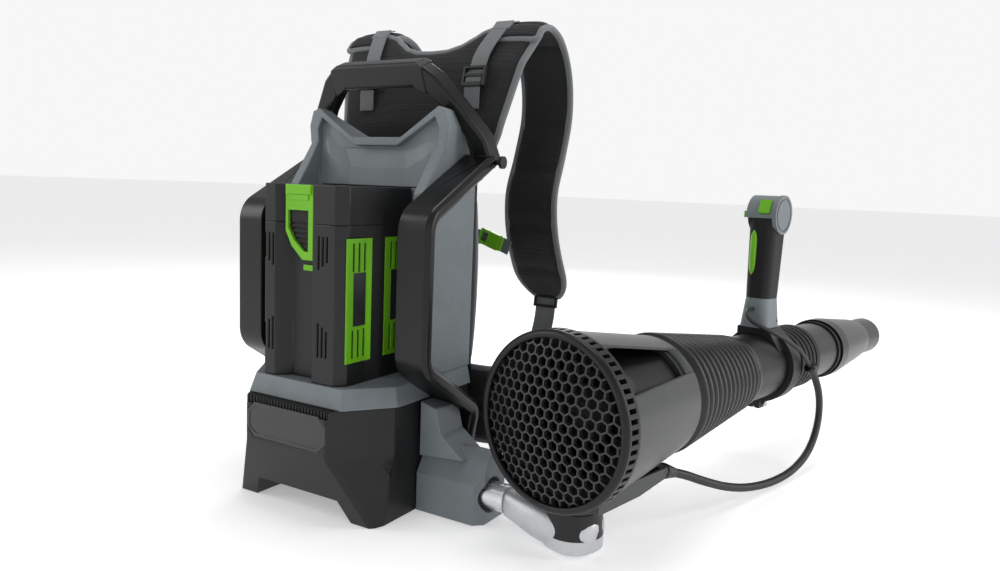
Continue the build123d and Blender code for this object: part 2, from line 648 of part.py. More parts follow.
def yaw_pin():
    return rod_z(PIN_RADIUS, 8, PIN_TOP, PIVOT_WORLD_X, PIVOT_Y)


# ---- blower ----
def honeycomb(radius, rim):
    """Disc outline with hexagonal holes that stay inside its rim."""
    holes = []
    rows = int(radius / (HEX_PITCH * 0.866)) + 1
    for row in range(-rows, rows + 1):
        y = row * HEX_PITCH * 0.866
        shift = HEX_PITCH / 2 if row % 2 else 0
        for column in range(-rows - 1, rows + 2):
            x = column * HEX_PITCH + shift
            if (x * x + y * y) ** 0.5 < radius - rim - HEX_PITCH / 2:
                holes.append(Pos(x, y) * RegularPolygon((HEX_PITCH - HEX_WEB) / 2, 6, major_radius=False,
                                                        rotation=30))
    return Circle(radius) - holes


def intake_guard():
    return Pos(0, 3, 0) * extrude(Plane.XZ * honeycomb(INTAKE_RADIUS, 2.5), 3)


def guard_ring():
    ring = ring_y(RIM_RADIUS, INTAKE_RADIUS + GAP, 2, 2 + RIM_WIDTH)
    count = 60
    slots = [Rot(0, 360 / count * i, 0) * Pos((INTAKE_RADIUS + RIM_RADIUS) / 2 + 2, 2 + RIM_WIDTH / 2, 0)
             * Box(RIM_RADIUS - INTAKE_RADIUS + 6, RIM_WIDTH - 8, 5.2) for i in range(count)]
    return ring - slots


def fan_duct():
    bell = RIM_RADIUS - 7
    start = 2 + RIM_WIDTH
    shell = turned([(bell, start), (bell, start + 7), (DUCT_OUTER + 5, start + 30), (DUCT_OUTER, start + 56),
                    (DUCT_OUTER, DUCT_LENGTH), (DUCT_RADIUS, DUCT_LENGTH), (DUCT_RADIUS, start + 40),
                    (DUCT_RADIUS + 8, start + 18), (bell - WALL, start)])
    return shell


def cover_cone(offset):
    first = COVER_FIRST + offset
    last = COVER_LAST + offset
    return turned([(first, COVER_START), (first + WALL, COVER_START), (last + WALL, COVER_END),
                   (last, COVER_END)])


def side_covers():
    wedge = prism_y([(30, 42), (RIM_RADIUS + 20, 42), (RIM_RADIUS + 20, -40), (84, -72), (30, -66)],
                    0, DUCT_LENGTH)
    right = cover_cone(0) & wedge
    return group(right, mirrored(right))


def top_cover():
    wedge = prism_y(both_sides([(34, 30), (42, RIM_RADIUS + 20)]), 0, DUCT_LENGTH)
    return cover_cone(-1) & wedge


def lower_cover():
    """Belly below the duct with the boss that turns on the arm's pin, and the cord's gland."""
    depth = AXIS_Z - COLLAR_TOP
    profile = [(24, -40), (24, 18 - depth), (104, 20 - depth), (158, 28 - depth), (158, -40)]
    belly = prism_x(profile, -53, 53)
    inner = [(28, -30), (28, 21 - depth), (103, 23 - depth), (154, 31 - depth), (154, -30)]
    belly -= prism_x(inner, -50, 50)
    body = BLOWER * belly
    body += rod_z(COLLAR_RADIUS - 3, COLLAR_TOP + GAP, AXIS_Z - DUCT_OUTER - 2, PIVOT_WORLD_X, PIVOT_Y)
    face = Plane(origin=CONDUIT_ROUTE[0], z_dir=Vector(*CONDUIT_ROUTE[0]) - Vector(*CONDUIT_ROUTE[1]))
    body += BLOWER * extrude(face * Circle(CONDUIT_DIAMETER / 2 + 3), 14)
    body -= BLOWER * turned([(0, 0), (RIM_RADIUS - 6.5, 0), (RIM_RADIUS - 6.5, 30), (DUCT_OUTER + 5.3, 53),
                             (DUCT_OUTER + GAP, 80), (DUCT_OUTER + GAP, 170), (0, 170)])
    body -= BLOWER * cover_keepout()
    return body - rod_z(PIN_RADIUS + RUN, 0, PIN_TOP + 1, PIVOT_WORLD_X, PIVOT_Y)


def cover_keepout():
    """Room under the side covers' lower edges."""
    slope = (COVER_FIRST - COVER_LAST) / (COVER_END - COVER_START)
    first = COVER_FIRST - 2 * GAP + slope
    last = COVER_LAST - 2 * GAP - slope
    cone = turned([(first, COVER_START - 1), (first + 20, COVER_START - 1), (last + 20, COVER_END + 1),
                   (last, COVER_END + 1)])
    wedge = prism_y([(28, 60), (140, 60), (140, -40), (86, -76), (28, -68)], 0, DUCT_LENGTH)
    keep = cone & wedge
    return keep + mirrored(keep)


def outlet_ring():
    return ring_y(DUCT_OUTER + 6, DUCT_OUTER, DUCT_LENGTH - 30, DUCT_LENGTH - 18)


def stator_core():
    """Fixed nacelle behind the fan, held in the duct by curved vanes."""
    body = ring_y(NACELLE_RADIUS, NACELLE_RADIUS - WALL, 96, 150)
    body += turned([(NACELLE_RADIUS, 150), (10, 192), (0, 192), (0, 188), (NACELLE_RADIUS - 6, 150)])
    body += ring_y(NACELLE_RADIUS, 10 + GAP, 96, 100)
    body += ring_y(NACELLE_RADIUS, 10 + GAP, 146, 150)
    span = DUCT_RADIUS - NACELLE_RADIUS + 2
    for i in range(STATOR_VANES):
        vane = Pos(NACELLE_RADIUS - 1 + span / 2, 124, 0) * Rot(12, 0, 0) * Box(span, 40, 2.2)
        body += Rot(0, 360 / STATOR_VANES * i, 0) * vane
    return body & rod_y(DUCT_RADIUS, 0, 195)


def motor_windings():
    return ring_y(NACELLE_RADIUS - WALL, ROTOR_RADIUS + 1, 104, 142)


def motor_bearings():
    rings = [ring_y(10 + GAP, MOTOR_SHAFT_RADIUS + RUN, y, y + 5) for y in (95.5, 145)]
    return group(*rings)


def rotor():
    shaft = rod_y(MOTOR_SHAFT_RADIUS, 60, 151)
    return shaft + rod_y(ROTOR_RADIUS, 106, 140)


def impeller():
    hub = turned([(0, 52), (14, 54), (NACELLE_RADIUS - 4, 66), (NACELLE_RADIUS, 72), (NACELLE_RADIUS, 94),
                  (NACELLE_RADIUS - 4, 94), (NACELLE_RADIUS - 4, 74), (12, 70), (12, 90),
                  (MOTOR_SHAFT_RADIUS, 90), (MOTOR_SHAFT_RADIUS, 60), (0, 60)])
    tip = DUCT_RADIUS - FAN_TIP_GAP
    span = tip - NACELLE_RADIUS + 2
    blades = []
    for i in range(FAN_BLADES):
        blade = Pos(NACELLE_RADIUS - 1 + span / 2, 82, 0) * Rot(-52, 0, 0) * Box(span, 24, 2.4)
        blades.append(Rot(0, 360 / FAN_BLADES * i, 0) * blade)
    for blade in blades:
        hub += blade & rod_y(tip, 0, 195)
    return hub


def bellows():
    start = DUCT_LENGTH + 4
    end = BELLOWS_END - 12
    pitch = (end - start) / BELLOWS_RIBS
    first = DUCT_OUTER + 11
    last = TUBE_RADIUS + 7.5
    outer = [(DUCT_OUTER + 3, DUCT_LENGTH - 16), (DUCT_OUTER + 3, start)]
    inner = [(DUCT_OUTER, DUCT_LENGTH - 16), (DUCT_OUTER, start)]
    for i in range(BELLOWS_RIBS):
        crest = first + (last - first) * i / (BELLOWS_RIBS - 1)
        y = start + pitch * i
        outer += [(crest, y + pitch * 0.3), (crest, y + pitch * 0.7), (crest - 7, y + pitch)]
        inner += [(crest - 3, y + pitch * 0.35), (crest - 3, y + pitch * 0.65), (crest - 9.5, y + pitch)]
    outer += [(TUBE_RADIUS + 3, end + 1), (TUBE_RADIUS + 3, BELLOWS_END)]
    inner += [(TUBE_RADIUS + GAP, end + 1), (TUBE_RADIUS + GAP, BELLOWS_END)]
    return turned(outer + inner[::-1])


# ---- wand ----
def front_tube():
    return ring_y(TUBE_RADIUS, TUBE_RADIUS - TUBE_WALL, TUBE_START, TUBE_JOINT)


def second_tube():
    tube = ring_y(SECOND_RADIUS, SECOND_RADIUS - TUBE_WALL, TUBE_JOINT - 30, SECOND_END)
    tube += ring_y(SECOND_RADIUS + 2.5, SECOND_RADIUS - 1, SECOND_END - 32, SECOND_END - 22)
    for angle in (0, 180):
        lug = Pos(SECOND_RADIUS + 0.5, SECOND_END - 8, 0) * Box(3, 5, 8)
        tube += Rot(0, angle, 0) * lug
    return tube


def locking_collar():
    collar = ring_y(SECOND_RADIUS + 6, SECOND_RADIUS, TUBE_JOINT, TUBE_JOINT + COLLAR_LENGTH)
    for i in range(4):
        y = TUBE_JOINT + 10 + 14 * i
        collar -= ring_y(SECOND_RADIUS + 7, SECOND_RADIUS + 4.5, y, y + 6)
    return collar


def nozzle():
    """Slides over the second tube and locks with a quarter turn on its two lugs."""
    start = SECOND_END - 20
    bore = SECOND_RADIUS + 2 + GAP
    mouth = NOZZLE_MOUTH_RADIUS + NOZZLE_WALL
    body = turned([(bore, start), (bore + NOZZLE_WALL, start), (bore + NOZZLE_WALL, SECOND_END + 6),
                   (NOZZLE_MOUTH_RADIUS + 8, NOZZLE_END - 90), (mouth, NOZZLE_END - 60),
                   (mouth, NOZZLE_END), (NOZZLE_MOUTH_RADIUS, NOZZLE_END),
                   (NOZZLE_MOUTH_RADIUS, NOZZLE_END - 60), (NOZZLE_MOUTH_RADIUS + 5, NOZZLE_END - 90),
                   (bore - 1, SECOND_END + 8), (bore - 1, SECOND_END + GAP), (bore, SECOND_END + GAP)])
    return body


def handle_clamp():
    y0 = CLAMP_S - CLAMP_LENGTH / 2
    outer = TUBE_RADIUS + CLAMP_WALL
    clamp = ring_y(outer, TUBE_RADIUS, y0, y0 + CLAMP_LENGTH)
    top = BASE_FOOT_Z - GAP
    saddle = prism_y([(HANDLE_X - 24, 20), (HANDLE_X - 24, top), (HANDLE_X + 24, top), (40, 30), (40, 20)],
                     HANDLE_S - 22, HANDLE_S + 24)
    clamp += saddle - rod_y(TUBE_RADIUS, 0, 900)
    clamp += box(-9, 9, y0, y0 + CLAMP_LENGTH, -outer - 10, 2 - outer) - rod_y(TUBE_RADIUS, 0, 900)
    clamp -= box(-1.5, 1.5, y0 - 1, y0 + CLAMP_LENGTH + 1, -outer - 12, -TUBE_RADIUS + 1)
    clamp -= rod_x(2.6, -20, 20, CLAMP_S, -outer - 4)
    return clamp


def clamp_bolt():
    z = -TUBE_RADIUS - CLAMP_WALL - 4
    bolt = rod_x(2.5, -12, 12, CLAMP_S, z)
    return bolt + rod_x(4.5, 9, 13, CLAMP_S, z) + rod_x(4.5, -13, -9, CLAMP_S, z)


def handle_slice(z, wider, deeper, corner):
    """Rounded section of the handle at a height."""
    section = RectangleRounded(GRIP_WIDTH + wider, GRIP_DEPTH + deeper, corner)
    return Plane(origin=(HANDLE_X, HANDLE_S, z)) * section


def handle_base():
    base = loft([handle_slice(BASE_FOOT_Z, 7, 4, 10), handle_slice(GRIP_Z, 0, 0, 14)])
    base -= rod_x(2.5, HANDLE_X - 40, HANDLE_X + 40, HANDLE_S + 14, BASE_FOOT_Z + 10)
    x, s, z = CABLE_ROUTE[-1]
    return base - rod_y(5, s - 20, s, x, z)


def handle_grip():
    neck_z = HEAD_Z - 6
    grip = loft([handle_slice(GRIP_Z + GAP, 0, 0, 14), handle_slice(neck_z, 5, 3, 14)])
    collar = rod_x(HEAD_RADIUS - 1, HEAD_X0 + 2, HEAD_X1 - 7, HEAD_S, HEAD_Z)
    grip += collar & box(-60, 60, 400, 600, 0, neck_z)
    s, z = TRIGGER_PIVOT
    grip -= box(HANDLE_X - 9.5, HANDLE_X + 9.5, s - 12, s + 30, z - 60, z + 7)
    grip -= rod_x(2.5, HANDLE_X - 14, HANDLE_X + 14, s, z)
    return grip


def control_head():
    cap = rod_x(HEAD_RADIUS, HEAD_X0, HEAD_X1 - 6, HEAD_S, HEAD_Z)
    cap = cap & box(-60, 60, 400, 600, HEAD_Z - 6 + GAP, HEAD_Z + 60)
    disc = rod_x(HEAD_RADIUS + 1, HEAD_X1 - 6, HEAD_X1, HEAD_S, HEAD_Z)
    disc -= ring_about_head(HEAD_RADIUS - 3, HEAD_RADIUS - 6, HEAD_X1 - 1.5, HEAD_X1 + 1)
    head = cap + disc
    head -= button_frame() * Box(17, 21, 8 + 2 * BUTTON_TRAVEL)
    return head - rod_x(4 + RUN, HEAD_X0 - 1, HEAD_X0 + 8, HEAD_S, HEAD_Z)


def ring_about_head(outer, inner, x0, x1):
    return rod_x(outer, x0, x1, HEAD_S, HEAD_Z) - rod_x(inner, x0 - 1, x1 + 1, HEAD_S, HEAD_Z)


BUTTON_ANGLE = 157.0


def button_frame():
    """Plane square to the head's surface on its rear upper side, Z outward."""
    outward = (0, cos(radians(BUTTON_ANGLE)), sin(radians(BUTTON_ANGLE)))
    centre = (HANDLE_X + 5, HEAD_S + HEAD_RADIUS * outward[1], HEAD_Z + HEAD_RADIUS * outward[2])
    return Location(Plane(origin=centre, x_dir=(1, 0, 0), z_dir=outward))


def turbo_button():
    return button_frame() * Pos(0, 0, 0.8 + GAP) * Box(16.2, 20.2, 4.6)


def cruise_lever():
    lever = rod_x(10, HEAD_X0 - 4, HEAD_X0 - GAP, HEAD_S, HEAD_Z)
    lever += rod_x(4, HEAD_X0 - GAP, HEAD_X0 + 7, HEAD_S, HEAD_Z)
    lever += box(HEAD_X0 - 9, HEAD_X0 - GAP - 0.4, HEAD_S - 16, HEAD_S - 4, HEAD_Z - 6, HEAD_Z + 4)
    return lever


def trigger():
    s, z = TRIGGER_PIVOT
    blade = [(s - 4, z + 3), (s + 5, z + 3), (s + 16, z - 3), (s + 18, z - 20), (s + 13, z - 38),
             (s + 16, z - 48), (s + 10, z - 50), (s + 5, z - 38), (s + 3, z - 14), (s - 4, z - 5)]
    lever = prism_x(blade, HANDLE_X - 9, HANDLE_X + 9)
    lever += rod_x(2.5 - RUN, HANDLE_X - 13.5, HANDLE_X + 13.5, s, z)
    return lever


# ---- cord ----
def cord_tube(route, diameter, name):
    """Straight runs joined by the largest arcs that the runs allow."""
    radii = []
    points = [Vector(*p) for p in route]
    for before, here, after in zip(points, points[1:], points[2:]):
        turn = radians((here - before).get_angle(after - here))
        run = min((here - before).length, (after - here).length)
        radii.append(0.45 * run * cos(turn / 2) / sin(turn / 2))
    path = FilletPolyline(*points, radius=radii)
    start = Plane(origin=path @ 0, z_dir=path % 0)
    tube = sweep(start * Circle(diameter / 2), path=path)
    expected = pi * diameter ** 2 / 4 * path.length
    print(name, "length", round(path.length, 1), "volume/expected", round(tube.volume / expected, 4),
          "radii", [round(r) for r in radii])
    return tube


def cable_conduit():
    return cord_tube(CONDUIT_ROUTE, CONDUIT_DIAMETER, "cable_conduit")


def control_cable():
    return cord_tube(CABLE_ROUTE, CABLE_DIAMETER, "control_cable")


PACK_NODES = [
    base_housing, badge_panel, release_bar, deck_cover, terminal_block, controller_board, arm_housing,
    arm_bushes, shroud, back_plate, guard_frame, carry_handle, accessory_peg, frame_screws, back_pad,
    harness_yoke, shoulder_pad, hip_belt, harness_webbing, harness_buckles, battery_case, battery_cap,
    latch_frame, latch_pad, side_vents, cell_pack, battery_contacts, arm_shaft, elbow_casting,
    swivel_collar, yaw_pin, lower_cover,
]
BLOWER_NODES = [
    intake_guard, guard_ring, fan_duct, side_covers, top_cover, outlet_ring, stator_core, motor_windings,
    motor_bearings, rotor, impeller, bellows, front_tube, second_tube, locking_collar, nozzle,
    handle_clamp, clamp_bolt, handle_base, handle_grip, control_head, turbo_button, cruise_lever, trigger,
    cable_conduit, control_cable,
]


# Pieces that are moulded or drilled to seat round a neighbour.
SEATS = [
    ("guard_frame", "shroud"), ("guard_frame", "deck_cover"), ("arm_housing", "guard_frame"),
    ("accessory_peg", "guard_frame"), ("back_plate", "frame_screws"), ("shroud", "frame_screws"),
    ("handle_grip", "control_head"), ("harness_buckles", "harness_yoke"),
    ("harness_webbing", "harness_buckles"), ("shoulder_pad", "harness_yoke"),
]


def build():
    parts = {make.__name__: make() for make in PACK_NODES}
    parts.update({make.__name__: BLOWER * make() for make in BLOWER_NODES})
    for seated, neighbour in SEATS:
        parts[seated] -= parts[neighbour]
    for name in ("guard_frame", "shoulder_pad"):
        right = parts.pop(name)
        parts[name + "_right"] = right
        parts[name + "_left"] = mirrored(right)
    return parts


os.makedirs("parts", exist_ok=True)
for node, shape in build().items():
    export_step(shape, f"parts/{node}.step")
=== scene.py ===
import bpy
import bmesh
import json
from math import pi, sin, cos, sqrt, radians
from mathutils import Vector, Matrix
from mathutils.bvhtree import BVHTree


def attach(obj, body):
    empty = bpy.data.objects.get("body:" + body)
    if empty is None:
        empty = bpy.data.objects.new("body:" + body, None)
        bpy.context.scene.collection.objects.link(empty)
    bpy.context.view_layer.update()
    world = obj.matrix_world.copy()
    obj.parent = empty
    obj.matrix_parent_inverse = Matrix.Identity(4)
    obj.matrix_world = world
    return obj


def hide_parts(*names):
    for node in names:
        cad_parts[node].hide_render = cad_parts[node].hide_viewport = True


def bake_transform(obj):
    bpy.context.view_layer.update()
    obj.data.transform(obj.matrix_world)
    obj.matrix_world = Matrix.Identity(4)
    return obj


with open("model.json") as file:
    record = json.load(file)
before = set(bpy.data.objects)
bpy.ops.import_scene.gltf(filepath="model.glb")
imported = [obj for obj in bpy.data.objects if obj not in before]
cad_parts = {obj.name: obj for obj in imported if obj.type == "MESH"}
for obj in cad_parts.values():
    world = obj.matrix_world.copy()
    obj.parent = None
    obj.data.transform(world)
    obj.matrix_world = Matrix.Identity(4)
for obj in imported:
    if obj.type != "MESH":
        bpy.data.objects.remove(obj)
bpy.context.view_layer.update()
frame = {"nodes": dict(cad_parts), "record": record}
RECORD = frame["record"]
NODES = frame["nodes"]
JOINT = {j["name"]: j for j in RECORD["behaviour"]["joints"]}
MM = 0.001

# ------------------------------------------------------------------ the blower's own axes
FAN_STATION = 0.082  # how far downstream of the guard the fan joint sits
X_AXIS = Vector(JOINT["trigger_pull"]["axis"])
S_AXIS = Vector(JOINT["fan_spin"]["axis"])
Z_AXIS = Vector(JOINT["tube_bend"]["axis"])
ORIGIN = Vector(JOINT["fan_spin"]["pos_m"]) - FAN_STATION * S_AXIS
BLOWER = Matrix.Identity(4)
for row in range(3):
    BLOWER[row][0] = X_AXIS[row]
    BLOWER[row][1] = S_AXIS[row]
    BLOWER[row][2] = Z_AXIS[row]
    BLOWER[row][3] = ORIGIN[row]


def local(x, s, z):
    """Row-frame point of a place given in the blower's own millimetres."""
    return BLOWER @ Vector((x * MM, s * MM, z * MM))


# ------------------------------------------------------------------ camera
YAW, PITCH, ROLL = radians(30.504), radians(7.033), radians(2.327)
LENS = 28.71
across = Vector((cos(YAW), sin(YAW), 0))
forward = Vector((-sin(YAW) * cos(PITCH), cos(YAW) * cos(PITCH), -sin(PITCH)))
upright = across.cross(forward)
right = across * cos(ROLL) + upright * sin(ROLL)
top = -across * sin(ROLL) + upright * cos(ROLL)
camera = bpy.data.objects.new("camera", bpy.data.cameras.new("camera"))
camera.data.lens = LENS
camera.data.sensor_width = 36
camera.data.clip_end = 50
bpy.context.scene.collection.objects.link(camera)
basis = Matrix((right, top, -forward)).transposed().to_4x4()
basis.translation = Vector((0.69011, -0.80794, 0.40905))
camera.matrix_world = basis
bpy.context.scene.camera = camera

# ------------------------------------------------------------------ materials
MATERIALS = {}


class Tree:
    """Small helper that adds nodes to one material."""

    def __init__(self, name):
        self.material = bpy.data.materials.new(name)
        self.material.use_nodes = True
        self.nodes = self.material.node_tree.nodes
        self.links = self.material.node_tree.links
        self.shader = self.nodes["Principled BSDF"]
        coord = self.nodes.new("ShaderNodeTexCoord")
        self.coord = coord.outputs["Object"]
        MATERIALS[name] = self.material

    def add(self, kind, inputs=(), **settings):
        node = self.nodes.new("ShaderNode" + kind)
        for key, value in settings.items():
            setattr(node, key, value)
        for key, value in dict(inputs).items():
            if isinstance(value, bpy.types.NodeSocket):
                self.links.new(value, node.inputs[key])
            else:
                node.inputs[key].default_value = value
        return node

    def link(self, socket, name):
        self.links.new(socket, self.shader.inputs[name])

    def noise(self, scale, detail=4.0, rough=0.6, stretch=(1, 1, 1)):
        place = self.add("Mapping", {"Vector": self.coord, "Scale": stretch})
        return self.add("TexNoise", {"Vector": place.outputs[0], "Scale": scale, "Detail": detail,
                                     "Roughness": rough}).outputs["Fac"]

    def ramp(self, value, low, high, a, b):
        """Value mapped from low..high to a..b."""
        span = {"Value": value, "From Min": low, "From Max": high, "To Min": a, "To Max": b}
        return self.add("MapRange", span).outputs["Result"]

    def blend(self, factor, a, b):
        node = self.nodes.new("ShaderNodeMix")
        node.data_type = "RGBA"
        self.links.new(factor, node.inputs[0])
        node.inputs[6].default_value = (*a, 1)
        if isinstance(b, bpy.types.NodeSocket):
            self.links.new(b, node.inputs[7])
        else:
            node.inputs[7].default_value = (*b, 1)
        return node.outputs[2]

    def bump(self, height, strength, distance, base=None):
        inputs = {"Height": height, "Strength": strength, "Distance": distance}
        if base is not None:
            inputs["Normal"] = base
        return self.add("Bump", inputs).outputs["Normal"]

    def value(self, name, number):
        self.shader.inputs[name].default_value = number


def moulded(name, color, rough=0.42, grain=1500.0, depth=0.05, round_edge=0.0012, sheen=0.0, wear_and_highlight=1.35):
    """Spark-textured plastic: fine grain, soft blotches in colour and gloss, edges a little lighter as a
    painted edge highlight mixed with edge wear.
    """
    t = Tree(name)
    blotch = t.noise(22.0, 5.0)
    fine = t.noise(grain, 2.0, 0.5)
    dust = t.noise(260.0, 6.0, 0.75)
    soft = t.add("Bevel", {"Radius": round_edge}, samples=4)
    geometry = t.add("NewGeometry")
    turn = t.add("VectorMath", {0: soft.outputs[0], 1: geometry.outputs["Normal"]}, operation="DOT_PRODUCT")
    # edge mask: the rims of faces, lightened below as a painted edge highlight mixed with edge wear
    edge = t.ramp(turn.outputs["Value"], 0.998, 0.86, 0.0, 1.0)
    dark = tuple(c * 0.86 for c in color)
    body = t.blend(t.ramp(blotch, 0.3, 0.7, 0.0, 1.0), dark, color)
    # lighter colour on the edges: painted edge highlight, partly broken up as wear by the dust noise
    worn_and_highlit = t.nodes.new("ShaderNodeMix")
    worn_and_highlit.data_type = "RGBA"
    rub_and_highlight = t.add("Math", {0: edge, 1: t.ramp(dust, 0.35, 0.6, 0.25, 0.8)}, operation="MULTIPLY")
    t.links.new(rub_and_highlight.outputs[0], worn_and_highlit.inputs[0])
    t.links.new(body, worn_and_highlit.inputs[6])
    worn_and_highlit.inputs[7].default_value = (*[min(1.0, c * wear_and_highlight + 0.012) for c in color], 1)
    t.link(worn_and_highlit.outputs[2], "Base Color")
    t.link(t.ramp(dust, 0.2, 0.8, rough - 0.05, rough + 0.08), "Roughness")
    t.link(t.bump(fine, depth, 0.0002, soft.outputs[0]), "Normal")
    t.value("Specular IOR Level", 0.34)
    t.value("Sheen Weight", sheen)
    return t.material


def metal(name, color, rough=0.3, stretch=(1, 1, 1), scale=300.0, grain=0.25):
    t = Tree(name)
    streak = t.noise(scale, 4.0, 0.6, stretch)
    cloud = t.noise(18.0, 4.0)
    soft = t.add("Bevel", {"Radius": 0.001}, samples=4)
    t.link(t.blend(t.ramp(cloud, 0.35, 0.65, 0.0, 1.0), tuple(c * 0.85 for c in color), color), "Base Color")
    t.value("Metallic", 1.0)
    t.link(t.ramp(streak, 0.25, 0.75, rough - 0.08, rough + 0.12), "Roughness")
    t.link(t.bump(streak, grain, 0.0002, soft.outputs[0]), "Normal")
    return t.material


def mesh_fabric(name, color, cell=2.6 * MM, depth=0.9, sheen=0.35):
    """Open spacer mesh: rows of small round holes in a knitted face."""
    t = Tree(name)
    cells = t.add("TexVoronoi", {"Vector": t.coord, "Scale": 1 / cell, "Randomness": 0.18})
    hole = t.ramp(cells.outputs["Distance"], 0.22, 0.5, 0.0, 1.0)
    knit = t.noise(1900.0, 3.0, 0.7)
    cloud = t.noise(14.0, 4.0)
    dark, pale = [tuple(c * k for c in color) for k in (0.75, 1.2)]
    thread = t.blend(t.ramp(cloud, 0.3, 0.7, 0.0, 1.0), dark, pale)
    t.link(t.blend(hole, tuple(c * 0.28 for c in color), thread), "Base Color")
    t.value("Roughness", 0.88)
    t.value("Sheen Weight", sheen)
    t.value("Sheen Roughness", 0.5)
    first = t.bump(hole, depth, 0.0009)
    t.link(t.bump(knit, 0.35, 0.0003, first), "Normal")
    return t.material


def woven(name, color, thread=1.3 * MM, sheen=0.25, along=(1, 1, 1)):
    """Flat webbing: a herringbone of thick yarns with a little fuzz."""
    t = Tree(name)
    place = t.add("Mapping", {"Vector": t.coord, "Scale": along})
    yarn = {"Vector": place.outputs[0], "Detail": 1.0}
    warp = t.add("TexWave", {**yarn, "Scale": 0.16 / thread, "Distortion": 0.4}, bands_direction="DIAGONAL")
    weft = t.add("TexWave", {**yarn, "Scale": 0.31 / thread, "Distortion": 0.3}, bands_direction="Z")
    both = t.add("Math", {0: warp.outputs["Fac"], 1: weft.outputs["Fac"]}, operation="MULTIPLY").outputs[0]
    fuzz = t.noise(2400.0, 3.0, 0.7)
    cloud = t.noise(30.0, 4.0)
    tone = t.blend(t.ramp(cloud, 0.3, 0.7, 0.0, 1.0), tuple(c * 0.8 for c in color), color)
    t.link(t.blend(t.ramp(both, 0.0, 0.6, 0.35, 1.0), tuple(c * 0.45 for c in color), tone), "Base Color")
    t.value("Roughness", 0.8)
    t.value("Sheen Weight", sheen)
    first = t.bump(both, 0.7, 0.0005)
    t.link(t.bump(fuzz, 0.3, 0.0002, first), "Normal")
    return t.material


def rubbery(name, color, rough=0.55):
    t = Tree(name)
    bloom = t.noise(60.0, 6.0, 0.7)
    fine = t.noise(1300.0, 2.0)
    pale = tuple(c * 1.7 + 0.004 for c in color)
    t.link(t.blend(t.ramp(bloom, 0.35, 0.7, 0.0, 1.0), color, pale), "Base Color")
    t.link(t.ramp(bloom, 0.3, 0.7, rough - 0.08, rough + 0.1), "Roughness")
    t.link(t.bump(fine, 0.12, 0.0002), "Normal")
    return t.material


def cellular(name, color, accent):
    """Board or cell surface: small blocks of two tones."""
    t = Tree(name)
    blocks = t.add("TexVoronoi", {"Vector": t.coord, "Scale": 140.0}, distance="CHEBYCHEV")
    pick = t.ramp(blocks.outputs["Distance"], 0.2, 0.35, 0.0, 1.0)
    t.link(t.blend(pick, accent, color), "Base Color")
    t.value("Roughness", 0.4)
    t.link(t.bump(pick, 0.4, 0.0004), "Normal")
    return t.material


moulded("gray", (0.175, 0.200, 0.212), 0.42, wear_and_highlight=1.3)
moulded("gray_dark", (0.040, 0.042, 0.0435), 0.32, wear_and_highlight=1.5)
moulded("charcoal", (0.0125, 0.0128, 0.0135), 0.40, wear_and_highlight=1.7)
moulded("black", (0.0042, 0.0043, 0.0046), 0.36, wear_and_highlight=2.0)
moulded("black_matte", (0.0035, 0.0035, 0.0038), 0.55, wear_and_highlight=1.8)
moulded("satin_black", (0.0045, 0.0047, 0.005), 0.30, grain=1500.0, depth=0.006, round_edge=0.0005, wear_and_highlight=1.3)
moulded("green", (0.155, 0.47, 0.012), 0.30, depth=0.02, wear_and_highlight=1.15)
moulded("badge", (0.045, 0.046, 0.049), 0.30, depth=0.03, wear_and_highlight=1.8)
moulded("web", (0.035, 0.036, 0.038), 0.34, grain=900.0, round_edge=0.0006, wear_and_highlight=2.2)
moulded("label", (0.022, 0.023, 0.024), 0.22, depth=0.01, wear_and_highlight=1.3)
metal("alloy", (0.62, 0.63, 0.65), 0.46, scale=700.0, grain=0.18)
metal("tube_alloy", (0.74, 0.75, 0.77), 0.26, stretch=(0.05, 1, 1), scale=900.0, grain=0.2)
metal("steel", (0.5, 0.51, 0.53), 0.28, scale=600.0)
metal("copper", (0.72, 0.33, 0.13), 0.35, stretch=(1, 0.05, 1), scale=900.0)
mesh_fabric("mesh", (0.0065, 0.0068, 0.0072), cell=3.4 * MM, sheen=0.06)
mesh_fabric("liner", (0.008, 0.0085, 0.009), cell=1.6 * MM, depth=0.5, sheen=0.1)
woven("webbing", (0.175, 0.19, 0.198))
woven("piping", (0.20, 0.215, 0.225), thread=0.9 * MM)
rubbery("rubber", (0.006, 0.006, 0.0065), 0.36)
rubbery("cable", (0.009, 0.009, 0.0095), 0.42)
cellular("board", (0.01, 0.08, 0.03), (0.3, 0.3, 0.28))
cellular("cell", (0.05, 0.12, 0.3), (0.3, 0.32, 0.35))

